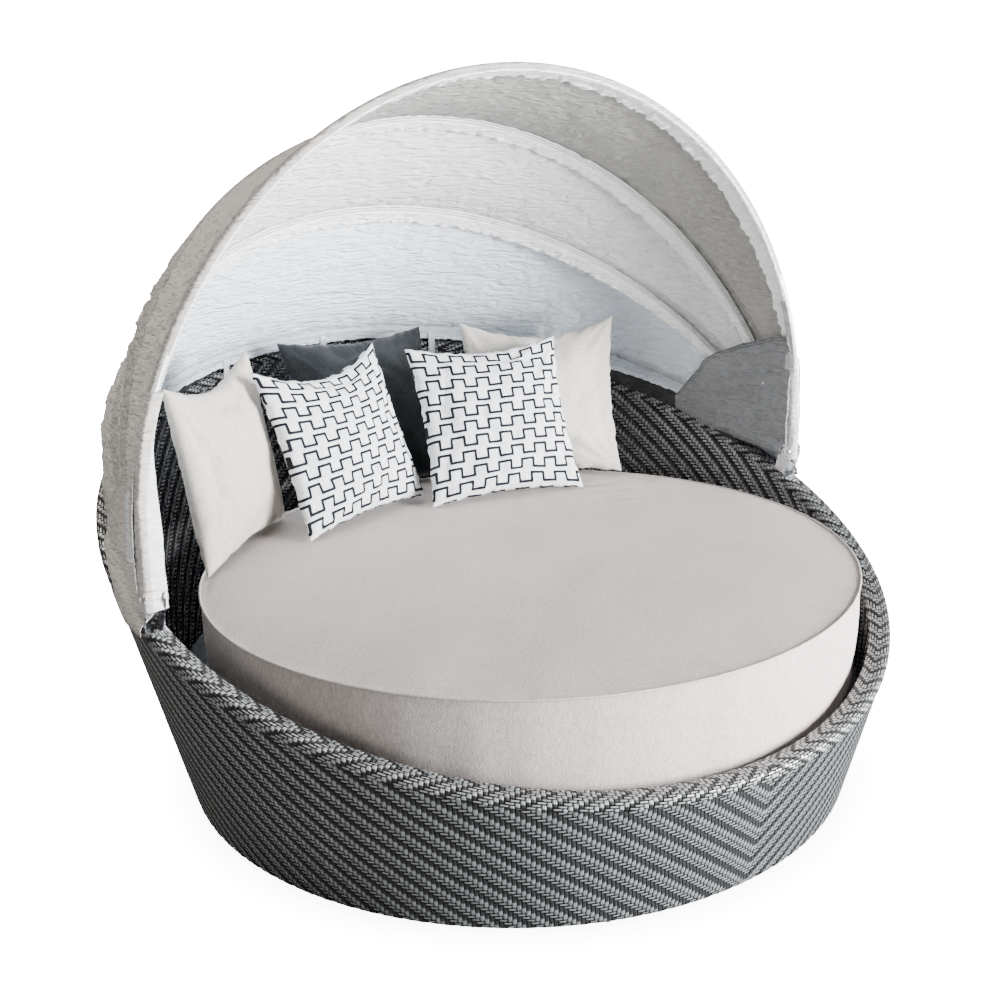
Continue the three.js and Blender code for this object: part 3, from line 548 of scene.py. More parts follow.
def quads_of(rows, columns, closed=False, start=0):
    """Faces over a grid of points, open or closed round its columns."""
    number = np.arange(rows * columns).reshape(rows, columns) + start
    if closed:
        number = np.concatenate([number, number[:, :1]], 1)
    return np.stack([number[:-1, :-1], number[1:, :-1], number[1:, 1:], number[:-1, 1:]], -1).reshape(-1, 4)


def sheet_normals(grid):
    first, second = np.gradient(grid, axis=0), np.gradient(grid, axis=1)
    normal = np.cross(first, second)
    return normal / np.maximum(np.linalg.norm(normal, axis=-1, keepdims=True), 1e-12)


def cloth_layers(grid, thickness, start=0):
    """A sheet of cloth with two faces and an edge, from a grid of places on its middle."""
    rows, columns = grid.shape[:2]
    shift = sheet_normals(grid) * thickness / 2
    points = np.concatenate([(grid + shift).reshape(-1, 3), (grid - shift).reshape(-1, 3)])
    top = quads_of(rows, columns, start=start)
    below = quads_of(rows, columns, start=start + rows * columns)[:, ::-1]
    number = np.arange(rows * columns).reshape(rows, columns) + start
    rim = np.concatenate([number[:, 0], number[-1, 1:], number[-2::-1, -1], number[0, -2:0:-1]])
    turned = np.roll(rim, -1)
    edge = np.stack([rim, rim + rows * columns, turned + rows * columns, turned], -1)
    return points, np.concatenate([top, below, edge])


def smooth_ring(corners, count):
    """A closed smooth outline through rough corners, with places spread evenly along it."""
    corners = np.array(corners + corners[:1])
    for _ in range(3):
        before, after = corners[:-1], corners[1:]
        cut = np.stack([0.75 * before + 0.25 * after, 0.25 * before + 0.75 * after], 1)
        corners = np.concatenate([cut.reshape(-1, 2), cut[0, :1]])
    steps = walked_to(corners)
    walked = np.arange(count) / count * steps[-1]
    return np.stack([np.interp(walked, steps, corners[:, k]) for k in range(2)], -1)


def bow_band(rearward, forward):
    """A flat band with the tube inside, sewn down along its front edge; its rear edge stands off."""
    corners = [(0.0102, 0.000), (0.0092, 0.006), (0.0072, 0.012), (0.0052, forward * 0.85), (0.0038, forward),
               (0.0018, forward), (-0.0030, forward * 0.8), (-0.0088, forward * 0.42), (-0.0104, 0.003),
               (-0.0110, -0.006), (-0.0122, -rearward * 0.6), (-0.0128, -rearward * 0.92),
               (-0.0118, -rearward), (-0.0098, -rearward), (-0.0084, -rearward * 0.8), (0.0010, -0.011),
               (0.0088, -0.007)]
    return smooth_ring(corners, band_points)


def end_band(rearward):
    """The band at the front: it turns close round the tube and lies inside the cloth behind it."""
    corners = [(0.0104, 0.000), (0.0100, 0.006), (0.0060, 0.0106), (-0.0050, 0.0108), (-0.0096, 0.0070),
               (-0.0106, 0.0000), (-0.0112, -0.010), (-0.0135, -rearward * 0.55), (-0.0168, -rearward * 0.92),
               (-0.0164, -rearward), (-0.0140, -rearward), (-0.0118, -rearward * 0.8),
               (-0.0060, -rearward * 0.45), (0.0030, -0.011), (0.0092, -0.006)]
    return smooth_ring(corners, band_points)


def ramp_step(value, low, high):
    share = np.clip((value - low) / (high - low), 0, 1)
    return share * share * (3 - 2 * share)


def one_face(along, away):
    """Flat places for a face of cloth, from two grids of distances."""
    return np.stack(np.broadcast_arrays(along, away), -1).reshape(-1, 2)


def sleeve(name, bow, outline, gather, seed):
    """A closed tube of cloth round a bow, narrower towards the pivots, its rear edge puckered."""
    x, away, side, out, walked = arch_line(bow, 0.0, sleeve_start, sleeve_rings, sleeve_trim)
    narrow = np.clip(away / full_width_at, least_width, 1.0)[:, None]
    phase = uneven_waves(walked, sleeve_pucker, (2.6, 9.0), (1.9, 23.0), seed, 2 * seed)
    swell = np.cos(phase) * 0.6 + 0.45 * np.cos(1.7 * phase + seed) + 0.5 * np.sin(0.37 * phase + 2 * seed)
    sway = np.sin(0.8 * phase + 1.3) * 0.6 + 0.5 * np.cos(2.1 * phase)
    rear_edge = float(outline[:, 1].min())
    loose = ramp_step(outline[:, 1] / rear_edge, 0.25, 1.0)[None, :]
    inside = np.clip(-outline[:, 0] / 0.01, 0, 1)[None, :]
    outward = outline[:, 0][None, :] - loose * gather * (0.4 + swell[:, None])
    outward = outward - (1 - loose) * inside * gather * 0.22 * np.maximum(sway[:, None], -0.3)
    forward = outline[:, 1][None, :] * narrow + loose * gather * 0.8 * sway[:, None]
    angle = np.radians(bow_lines[bow][2])
    plane_x = x[:, None] + side[:, None] * outward
    plane_r = away[:, None] + out[:, None] * outward
    y = axis_y + plane_r * np.cos(angle) - forward * np.sin(angle)
    z = axis_z + plane_r * np.sin(angle) + forward * np.cos(angle)
    grid = np.stack([plane_x, y, z], -1)
    wrinkle = rumple(grid * np.array([1.0, 1.0, 1.4]), 0.016, seed, 2)
    wrinkle = wrinkle * (0.25 + 0.75 * inside) * sleeve_wrinkle
    grid[..., 0] -= side[:, None] * wrinkle
    grid[..., 1] -= out[:, None] * np.cos(angle) * wrinkle
    grid[..., 2] -= out[:, None] * np.sin(angle) * wrinkle
    rows, columns = grid.shape[:2]
    faces = quads_of(rows, columns, closed=True)[:, ::-1].tolist()
    faces += [list(range(columns)), list(range((rows - 1) * columns, rows * columns))[::-1]]
    piece = mesh_object(name, grid.reshape(-1, 3), faces)
    from_front = float(outline[:, 1].max()) - outline[:, 1] + 0.0120
    map_places(piece, "seams", one_face(walked[:, None], from_front[None, :]))
    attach(piece, bow_bodies[bow])
    return piece


third_sleeve = sleeve("third_bow_sleeve", "third_bow", bow_band(0.026, 0.022), 0.0030, 1.0)
second_sleeve = sleeve("second_bow_sleeve", "second_bow", bow_band(0.026, 0.022), 0.0030, 2.0)
front_sleeve = sleeve("front_hem_band", "front_bow", end_band(0.040), 0.0034, 3.0)
hem_sleeve = sleeve("rear_hem_band", "hem_bow", bow_band(0.0125, 0.026), 0.0016, 4.0)

# Canopy cloth. Three panels of the same polyester run from bow to bow and are sewn to the sleeves, so that
# they read as one sheet. They hang in a little between the bows and pucker along every seam; the rear one
# billows out loosely to both sides.
cloth_thickness = 0.0014
panel_start, panel_trim, panel_rows = 0.034, 0.066, 500
slack_share = 0.045
panel_pucker, pucker_rise, pucker_reach = 0.043, 0.007, 0.05
tape_edges, tape_depth = (0.0145, 0.0165, 0.0305, 0.0335), 0.0007
billow_from, billow_span = 0.08, 0.95
wave_least, wave_more, wave_size = 0.0035, 0.0035, 0.15
crease_least, crease_more, crease_size = 0.0026, 0.0040, 0.085
fine_depth, fine_size = 0.0008, 0.028


def panel_steps(span, middle_count):
    """Places across a panel, close together along both seams."""
    near = np.array([0.0, 0.003, 0.007, 0.011, 0.0145, 0.016, 0.0175, 0.022, 0.027, 0.0305, 0.032, 0.0335,
                     0.038])
    middle = np.linspace(0.045, span - 0.045, middle_count)
    return np.concatenate([near, middle, span - near[::-1]]) / span


def between(value, first, full, fading, last):
    """1 from full to fading, with a smooth step up before and down after."""
    return ramp_step(value, first, full) * (1 - ramp_step(value, fading, last))


def both_faces(along, away):
    return np.tile(one_face(along, away), (2, 1))


def set_turning(piece):
    """Writes a piece's placement into its own mesh."""
    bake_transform(piece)


def canopy_panel(name, lower, upper, node, gathers, billow, seed):
    """A panel between two bows; gathers gives how deep it puckers along its lower and its upper seam."""
    edges = []
    for bow in (lower, upper):
        x, away, side, out, walked = arch_line(bow, ridge_offset, panel_start, panel_rows, panel_trim)
        slope = bow_lines[bow][2]
        outward = about_axis(side, out, slope) - about_axis(0 * side, 0 * out, slope)
        edges.append((about_axis(x, away, slope), outward))
    (low, low_out), (high, high_out) = edges
    span = np.linalg.norm(high - low, axis=-1)
    steps = panel_steps(float(span.max()), 34)
    share = steps[None, :, None]
    outward = low_out[:, None] * (1 - share) + high_out[:, None] * share
    outward /= np.linalg.norm(outward, axis=-1, keepdims=True)
    sag = slack_share * span[:, None] * (1 - (2 * steps[None, :] - 1) ** 2)
    grid = low[:, None] * (1 - share) + high[:, None] * share - outward * sag[..., None]
    along = walked[:, None]
    from_low = steps[None, :] * span[:, None]
    from_high = (1 - steps[None, :]) * span[:, None]
    lift = np.zeros(grid.shape[:2])
    for distance, gather, shift in ((from_low, gathers[0], seed), (from_high, gathers[1], seed + 2.0)):
        phase = uneven_waves(along, panel_pucker, (2.6, 7.0), (1.7, 17.0), shift, shift * 3)
        ripple = np.cos(phase) * 0.65 + np.cos(0.53 * phase + shift) * 0.5
        strength = gather(along) * (1 - np.exp(-distance / pucker_rise)) * np.exp(-distance / pucker_reach)
        lift += ripple * strength
        lift -= tape_depth * between(distance, *tape_edges)
    quiet = np.clip(np.minimum(from_low, from_high) / 0.03, 0, 1)
    from_end = np.minimum(along, walked[-1] - along)
    loose = np.sin(math.pi * np.clip((from_end - billow_from) / billow_span, 0, 1)) ** 2
    lift += billow * loose * np.sin(math.pi * steps[None, :] ** 1.25) ** 0.8
    waves = rumple(grid * np.array([1.0, 0.6, 0.6]), wave_size, seed, 2)
    lift += quiet * (wave_least + wave_more * loose) * waves
    creases = fold_lines(rumple(grid * np.array([0.8, 1.0, 1.5]), crease_size, seed + 5.0, 3), 2.6, 3)
    lift += quiet * (crease_least + crease_more * loose) * creases
    fine = rumple(grid * np.array([0.6, 0.9, 1.8]), fine_size, seed + 9.0, 2)
    lift += np.clip(quiet + 0.2, 0, 1) * fine_depth * fine
    grid = grid + outward * lift[..., None]
    points, faces = cloth_layers(grid, cloth_thickness)
    piece = mesh_object(name, points, faces.tolist())
    map_places(piece, "seams", both_faces(along, np.minimum(from_low, from_high)))
    set_turning(piece)
    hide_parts(node)
    return piece


def even_gather(depth):
    return lambda along: depth * (0.75 + 0.35 * np.sin(along * 5.0))


def lower_right_gather(depth):
    return lambda along: depth * (0.6 + 1.3 * ramp_step(along, 1.9, 2.8))


rear_cloth = canopy_panel("rear_cloth", "hem_bow", "third_bow", "rear_panel",
                          (lower_right_gather(0.0044), even_gather(0.0034)), 0.046, 1.0)
middle_cloth = canopy_panel("middle_cloth", "third_bow", "second_bow", "middle_panel",
                            (even_gather(0.0020), even_gather(0.0022)), 0.016, 2.0)
front_cloth = canopy_panel("front_cloth", "second_bow", "front_bow", "front_panel",
                           (even_gather(0.0020), even_gather(0.0024)), 0.004, 3.0)

crinkle, given, result = new_group("cloth_crinkle", ("Fine", "Coarse"), ("Height", "Patches", "PaintedCreaseShade"))
stretched = {"Vector": places(crinkle), "Scale": (0.42, 0.7, 2.1)}
stretched = wire(crinkle, "ShaderNodeMapping", stretched).outputs[0]
fine = speckle(crinkle, given["Fine"], 2.0, 0.5, stretched)
swirl = {"Vector": stretched, "Scale": given["Coarse"], "Detail": 2.0, "Roughness": 0.45, "Distortion": 1.1}
coarse = wire(crinkle, "ShaderNodeTexNoise", swirl).outputs["Fac"]
crinkle.links.new(calc(crinkle, "MULTIPLY_ADD", fine, 0.35, coarse), result["Height"])
crinkle.links.new(coarse, result["Patches"])
# 1 along the lines where the coarse crinkle turns; the cloth darkens them as painted shade.
from_fold = calc(crinkle, "ABSOLUTE", calc(crinkle, "SUBTRACT", coarse, 0.5))
crinkle.links.new(ramped(crinkle, from_fold, 0.0, 0.035, 1.0, 0.0), result["PaintedCreaseShade"])

line_half, stitch_pitch, stitch_gap = 0.0013, 0.0045, 0.3
stitching, given, result = new_group("seam_stitches", ("Along", "Away", "First", "Second"),
                                     ("Line", "Stitch"))


def near_line(tree, away, line, half_width):
    distance = calc(tree, "ABSOLUTE", calc(tree, "SUBTRACT", away, line))
    return ramped(tree, distance, 0.0, half_width, 1.0, 0.0)


line = calc(stitching, "MAXIMUM", near_line(stitching, given["Away"], given["First"], line_half),
            near_line(stitching, given["Away"], given["Second"], line_half))
dash = calc(stitching, "FRACT", calc(stitching, "MULTIPLY", given["Along"], 1 / stitch_pitch))
gap = calc(stitching, "GREATER_THAN", dash, stitch_gap)
stitching.links.new(line, result["Line"])
stitching.links.new(calc(stitching, "MULTIPLY", line, gap), result["Stitch"])


def shade(colour, share):
    """A darker tone of a colour."""
    return tuple(share * part for part in colour[:3]) + (1.0,)


def polyester(name, colour, seams=None, crinkled=1.0):
    """Thin coated polyester with fine crinkles, whose creases are darkened as painted shade. seams gives how
    far from each seam its two stitched lines run, and where the painted shade in its tuck begins and ends to
    fade."""
    material, tree, shader = finish_of(name, Roughness=0.62, specular=0.35)
    relief = group_of(tree, crinkle, Fine=95.0, Coarse=38.0)
    patch = ramped(tree, relief["Patches"], 0.3, 0.7, 0.0, 0.2)
    base = mixed(tree, patch, colour, shade(colour, 0.7))
    # Painted shade: the crease lines are darkened towards half the cloth's colour, more where crinkled is
    # larger.
    base = mixed(tree, calc(tree, "MULTIPLY", relief["PaintedCreaseShade"], 0.30 * crinkled), base, shade(colour, 0.5))
    height = relief["Height"]
    if seams:
        first_line, second_line, shade_from, shade_to = seams
        along, away = flat_place(tree, "seams")
        seam = group_of(tree, stitching, Along=along, Away=away, First=first_line, Second=second_line)
        thread_and_shade = shade(colour, 0.45)
        base = mixed(tree, calc(tree, "MULTIPLY", seam["Line"], 0.6), base, thread_and_shade)
        # Painted shade: the cloth beside each sleeve is darkened towards the thread's colour, fading out
        # between shade_from and shade_to.
        base = mixed(tree, ramped(tree, away, shade_from, shade_to, 0.55, 0.0), base, thread_and_shade)
        height = calc(tree, "SUBTRACT", height, calc(tree, "MULTIPLY", seam["Stitch"], 0.7))
    link_to(tree, base, shader, "Base Color")
    link_to(tree, ramped(tree, relief["Patches"], 0.3, 0.7, 0.52, 0.72), shader, "Roughness")
    bumped(tree, shader, height, 0.0105 * crinkled)
    return material


def dress_cloth(piece, outside, inside):
    """Gives the faces that look away from the seat one finish and those that look at it another."""
    piece.data.materials.append(outside)
    piece.data.materials.append(inside)
    heart = Vector((0.0, axis_y + 0.25, axis_z))
    for face in piece.data.polygons:
        face.material_index = int(face.normal.dot(face.center - heart) < 0)


panel_seams, band_seams = (0.0285, 0.0335, 0.023, 0.030), (0.0155, 0.0205, 0.0, 0.0035)
# The inner faces and the bands are lit and shaded copies of the one polyester: the front panel's inside is
# darker as painted shade, the middle and rear insides and the bands are lighter as painted light, the rear
# one with a blue cast of light through the cloth.
outside_cloth = polyester("canopy_outside", (0.56, 0.53, 0.50, 1.0), panel_seams)
front_inside_shaded = polyester("front_inside_shaded", (0.30, 0.295, 0.28, 1.0), panel_seams)
middle_inside_lit = polyester("middle_inside_lit", (0.66, 0.665, 0.66, 1.0), panel_seams)
rear_inside_lit = polyester("rear_inside_lit", (0.66, 0.72, 0.79, 1.0), panel_seams)
front_band_lit = polyester("front_band_lit", (0.86, 0.86, 0.86, 1.0), band_seams)
inner_band_lit = polyester("inner_band_lit", (0.78, 0.78, 0.77, 1.0), band_seams)
for piece, inside in ((rear_cloth, rear_inside_lit), (middle_cloth, middle_inside_lit), (front_cloth, front_inside_shaded),
                      (third_sleeve, inner_band_lit), (second_sleeve, inner_band_lit), (front_sleeve, front_band_lit),
                      (hem_sleeve, rear_inside_lit)):
    dress_cloth(piece, outside_cloth, inside)

# Valance. Below the hem bow a strip of the same cloth hangs down to the rim and closes the gap to it; it is
# longest at the sides, where the bow stands highest over the rim, and puckers along its edge.
valance_inset, valance_trim = -0.0075, 0.15
valance_columns, valance_rows = 700, 14
valance_pucker, valance_ripple = 0.043, 0.0042
# Its inner face is near black: painted shade for the dark hollow under the hem bow.
valance_painted_shade = polyester("valance_painted_shade", (0.022, 0.023, 0.025, 1.0))


def valance():
    x, away, _, _, walked = arch_line("hem_bow", valance_inset, panel_start, valance_columns, valance_trim)
    top = about_axis(x, away, bow_lines["hem_bow"][2])
    bearing = np.arctan2(top[:, 1], top[:, 0])
    over_rim = top[:, 2] - rim_height(bearing)
    at_side = ramp_step(over_rim, 0.0215, 0.034)
    drop = over_rim + 0.0005 + 0.0035 * at_side
    plan = np.hypot(top[:, 0], top[:, 1]) + 0.016 * (1 - at_side)
    inner_edge = outer_radius(rim_height(bearing)) - rim_width - 0.007
    low_plan = plan * (1 - at_side) + np.minimum(inner_edge, plan) * at_side
    share = np.linspace(0, 1, valance_rows)[None, :]
    phase = uneven_waves(walked, valance_pucker, (2.4, 8.0), (1.4, 21.0))
    ripple = (np.cos(phase) * 0.6 + 0.5 * np.cos(0.61 * phase + 1.0))[:, None] * share * valance_ripple
    radius = plan[:, None] + (low_plan - plan)[:, None] * share - np.abs(ripple) * 0.6 - ripple * 0.4
    height = top[:, 2][:, None] - drop[:, None] * share + 0.4 * ripple
    grid = np.stack([radius * np.cos(bearing)[:, None], radius * np.sin(bearing)[:, None], height], -1)
    points, faces = cloth_layers(grid, cloth_thickness)
    piece = mesh_object("hem_valance", points, faces.tolist())
    map_places(piece, "seams", both_faces(walked[:, None], drop[:, None] * (1 - share)))
    dress_cloth(piece, outside_cloth, valance_painted_shade)
    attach(piece, "base")


valance()

# Pockets. At each side the canopy ends in a double flap that hides the bow ends: an outer patch and an
# inner fan are sewn to the bows, and a boot round the front bow's leg joins them and hides the bolt.
flap_top = ((8.0, 0.376), (15.0, 0.370), (32.0, 0.342), (42.0, 0.329), (54.0, 0.312), (70.0, 0.298),
            (92.0, 0.307))
patch_top = ((8.0, 0.315), (30.0, 0.280), (57.0, 0.245), (80.0, 0.238), (92.0, 0.246))
flap_low = ((-0.05, 0.572), (-0.02, 0.576), (0.10, 0.582), (0.225, 0.602), (0.259, 0.614), (0.327, 0.646),
            (0.40, 0.68))
patch_drop = ((-0.04, 0.006), (0.0, 0.020), (0.06, 0.036), (0.20, 0.040), (0.31, 0.014))
flap_radius, rim_skirt_radius = 0.857, 0.9065
fold_slope, fold_width, fold_depth = 41.5, 8.0, 0.014
fan_inset, patch_offset = -0.0165, ridge_offset + 0.0024
flap_points, pocket_slopes, skirt_rows = 60, 40, 12
pocket_seams = (0.012, 0.019, 0.0, 0.003)
side_names = {-1: "left", 1: "right"}
pocket_names = {"third_bow": "rear", "second_bow": "middle", "front_bow": "front"}


def read_curve(curve, at):
    """Reads a drawn curve, given by its corners, at one or more places."""
    return np.interp(at, *zip(*curve))


def from_axis(grid):
    """The distance of each place from the pivot axis."""
    return np.hypot(grid[..., 1] - axis_y, grid[..., 2] - axis_z)


def outer_side(grid, angle):
    """How far out the outer patch lies: just outside the canopy's own cloth, and outside the rim below it."""
    on_bows = bow_side(angle, from_axis(grid), patch_offset)
    on_rim = np.sqrt(rim_skirt_radius ** 2 - grid[..., 1] ** 2)
    above = grid[..., 2] - rim_height(np.arctan2(grid[..., 1], on_rim))
    lower = 1 - ramp_step(above, 0.004, 0.040)
    return on_bows + (on_rim - on_bows) * lower * (angle < bow_lines["hem_bow"][2] + 0.01)


def inner_side(grid, angle):
    """The inner fan lies inside the bows and their bands, with a fold along the third bow."""
    away = from_axis(grid)
    fold = np.exp(-((angle - fold_slope) / fold_width) ** 2) * np.clip(away / 0.2, 0, 1)
    inside_rim = np.sqrt(flap_radius ** 2 - grid[..., 1] ** 2)
    return np.minimum(inside_rim, bow_side(angle, away, fan_inset)) - fold_depth * fold


def set_across(grid, side, angle, across_of, wave, seed):
    """Moves a flap out to its side and rumples it, calmly close to the pivot."""
    grid[..., 0] = side * across_of(grid, angle)
    calm = np.clip(from_axis(grid) / 0.08, 0, 1)
    creases = fold_lines(rumple(grid, 0.11, seed + 3 * side, 2), 2.8)
    grid[..., 0] += side * wave * calm * (0.6 * rumple(grid, 0.085, seed + side, 3) - 0.5 * creases)
    return grid


def fan(side, angles, top, across_of, wave, seed):
    """A flap between two angles about the pivot axis, side 1 to the right and -1 to the left."""
    angle, share = np.meshgrid(angles, np.linspace(0, 1, flap_points), indexing="ij")
    away = 0.010 + (read_curve(top, angle) - 0.010) * share
    return set_across(about_axis(0 * away, away, angle), side, angle, across_of, wave, seed)


def skirt(side, top, low_at, across_of, wave, seed):
    """The part of a flap below the hem bow's line, down to the rim."""
    slope = bow_lines["hem_bow"][2]
    distances = np.linspace(0.0, float(read_curve(top, slope)), flap_points)
    away, share = np.meshgrid(distances, np.linspace(0, 1, skirt_rows), indexing="ij")
    grid = about_axis(0 * away, away, slope)
    grid[..., 2] += (low_at(grid[..., 1]) - grid[..., 2]) * share
    return set_across(grid, side, np.full_like(away, slope), across_of, wave, seed)


def inner_low(y):
    return read_curve(flap_low, y)


def outer_low(y):
    bearing = np.arctan2(y, np.sqrt(rim_skirt_radius ** 2 - y ** 2))
    return rim_height(bearing) - read_curve(patch_drop, y)


patch_layer, fan_layer = (outer_side, 0.0016, 1.0), (inner_side, 0.0100, 2.0)


def pocket(side, lower, upper):
    """The part of a side's flap that lies between two bows; the rear one has the skirts down to the rim."""
    past_bow = 0.8 if upper == "front_bow" else 0.0
    angles = np.linspace(bow_lines[lower][2], bow_lines[upper][2] + past_bow, pocket_slopes)
    sheets = [fan(side, angles, patch_top, *patch_layer), fan(side, angles, flap_top, *fan_layer)]
    if upper == "third_bow":
        sheets.append(skirt(side, patch_top, outer_low, *patch_layer))
        sheets.append(skirt(side, flap_top, inner_low, *fan_layer))
    points, faces, flat_places = [], [], []
    for grid in sheets:
        batch, made = cloth_layers(grid, cloth_thickness, sum(len(earlier) for earlier in points))
        points.append(batch)
        faces += made.tolist()
        edge = np.linalg.norm(grid[:, -1:] - grid, axis=-1) + 0.0085
        flat_places.append(both_faces(walked_to(grid[:, -1])[:, None], edge))
    points = np.concatenate(points)
    piece = mesh_object(f"{side_names[side]}_pocket_{pocket_names[upper]}", points, faces)
    map_places(piece, "seams", np.concatenate(flat_places))
    set_turning(piece)
    return piece


boot_foot, boot_head, boot_rows, boot_columns = -0.024, 0.40, 130, 67
boot_fold = ((-0.024, 0.035), (0.016, 0.045), (0.074, 0.090), (0.156, 0.062), (0.232, 0.042), (0.245, 0.034),
             (0.30, 0.014), (0.40, 0.002))
slot_rise, slot_run, slot_depth = (0.072, 0.080, 0.214, 0.222), (-0.0030, 0.0, 0.033, 0.036), 0.0045
slot_face, lining_face, middle_fold = 0.889, 0.8785, 0.8775


def boot_section(side, rise, back_edge):
    """The boot's open outline at a height over the pivot axis, as distances from the middle and the axis."""
    top = float(ramp_step(np.array(rise), 0.12, 0.36))
    loose = (1 - top) * (0.0030 + 0.0020 * math.sin(rise * 30.0 + side))
    outer, inner = 0.8925, 0.8640 + 0.0140 * top
    corner = outer - 0.002
    if side < 0:
        outer, inner = 0.9040 - 0.0012 * top, 0.8460 + 0.0320 * top
        corner = outer - 0.0085 * (1 - top)
    front = -0.0114 - loose
    back_edge = back_edge * (1 - top) + top * 0.003
    line = [(outer, back_edge), (outer + 0.0005, 0.018), (0.5 * (outer + corner), 0.004), (corner, -0.006),
            (corner - 0.0040, front + 0.0010), (0.8810, front - 0.0006), (middle_fold, front + 0.0012),
            (0.5 * (inner + middle_fold), front + 0.0026), (inner + 0.003, -0.0080), (inner, -0.003),
            (inner, 0.006), (inner, 0.006 + 0.018 * (1 - top))]
    return along_line(line, boot_columns)[0]


def place_on_leg(centre):
    """How far from the middle a place would be if the front bow's leg were straight."""
    leg_at = float(bow_side(bow_lines["front_bow"][2], centre.z - axis_z, 0.0))
    return abs(centre.x) - leg_at + bow_lines["front_bow"][0]


def in_slot(side, centre):
    """Whether a place lies in the long sunk patch on the outside of the left boot."""
    inside = 0.076 < centre.z - axis_z < 0.218 and -0.001 < centre.y - axis_y < 0.0345
    return inside and side < 0 and place_on_leg(centre) > 0.884


def boot(side):
    """Cloth round the front bow's leg, sewn along its front; the left one has a long sunk patch outside."""
    up = np.linspace(boot_foot, boot_head, boot_rows)
    grid = np.zeros((boot_rows, boot_columns, 3))
    for row, (rise, back_edge) in enumerate(zip(up, read_curve(boot_fold, up))):
        placed = boot_section(side, rise, back_edge)
        heights = np.full(boot_columns, axis_z + rise)
        grid[row] = np.stack([side * placed[:, 0], axis_y + placed[:, 1], heights], -1)
    for _ in range(3):
        grid[:, 1:-1] = (grid[:, :-2] + 2 * grid[:, 1:-1] + grid[:, 2:]) / 4
    wave = rumple(grid * np.array([1.0, 1.0, 0.8]), 0.055, 8.0 + side, 2)
    creases = fold_lines(rumple(grid * np.array([1.0, 1.0, 0.7]), 0.07, 3.0 + side, 2), 2.6)
    away_from_top = (1 - ramp_step(up, 0.18, 0.36))[:, None]
    out = np.zeros_like(grid)
    out[..., 1] = -1.0
    out[..., 0] = side * np.clip((np.abs(grid[..., 0]) - 0.880) / 0.02, -1, 1)
    out /= np.linalg.norm(out, axis=-1, keepdims=True)
    grid += out * (away_from_top * (0.0016 * np.maximum(wave, -0.3) + 0.0016 * creases))[..., None]
    if side < 0:
        hollow = between(grid[..., 2] - axis_z, *slot_rise) * between(grid[..., 1] - axis_y, *slot_run)
        grid[..., 0] -= side * slot_depth * hollow * (side * grid[..., 0] > slot_face)
    bent = (bow_side(bow_lines["front_bow"][2], up, 0.0) - bow_lines["front_bow"][0])[:, None]
    grid[..., 0] += side * bent
    points, faces = cloth_layers(grid, cloth_thickness)
    piece = mesh_object(f"{side_names[side]}_boot", points, faces.tolist())
    piece.data.materials.append(boot_outside)
    piece.data.materials.append(boot_inside_lit if side < 0 else boot_lining_shaded)
    for face in piece.data.polygons:
        face.material_index = int(place_on_leg(face.center) < lining_face or in_slot(side, face.center))
    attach(piece, "front_bow")


# The insides of the flaps and boots are lit and shaded copies of the same cloth: the pocket insides are
# darker and more creased as painted shade, the left boot's inside and sunk patch are near white as painted
# light, and the right boot's inside is grey as painted shade.
pocket_outside = polyester("pocket_outside", (0.50, 0.47, 0.44, 1.0), pocket_seams)
pocket_inside_shaded = polyester("pocket_inside_shaded", (0.21, 0.22, 0.23, 1.0), pocket_seams, 1.6)
boot_outside = polyester("boot_outside", (0.56, 0.53, 0.50, 1.0))
boot_inside_lit = polyester("boot_inside_lit", (0.76, 0.78, 0.80, 1.0))
boot_lining_shaded = polyester("boot_lining_shaded", (0.40, 0.415, 0.43, 1.0))
for side in (-1, 1):
    for lower, upper in (("hem_bow", "third_bow"), ("third_bow", "second_bow"), ("second_bow", "front_bow")):
        dress_cloth(pocket(side, lower, upper), pocket_outside, pocket_inside_shaded)
for side in (-1, 1):
    boot(side)

# Hem straps. Three flat polyester ties hold the hem bow to the rear rim: each hangs from the inner side of
# the bow and is tucked down the inner wall.
strap_turns = (-22.0, 0.0, 22.0)
strap_half, strap_body = 0.009, 0.0015
strap_steps, strap_columns, strap_camber = 60, 9, 0.0008
strap_finish, tree, shader = finish_of("strap_webbing", Roughness=0.7, specular=0.3)
ribs = wire(tree, "ShaderNodeTexWave", {"Vector": places(tree), "Scale": 340.0, "Distortion": 0.6},
            bands_direction="Z").outputs["Fac"]
link_to(tree, mixed(tree, ribs, (0.55, 0.56, 0.57, 1.0), (0.78, 0.79, 0.80, 1.0)), shader, "Base Color")
link_to(tree, ramped(tree, speckle(tree, 90.0), 0.3, 0.7, 0.6, 0.8), shader, "Roughness")
bumped(tree, shader, ribs, 0.0003)


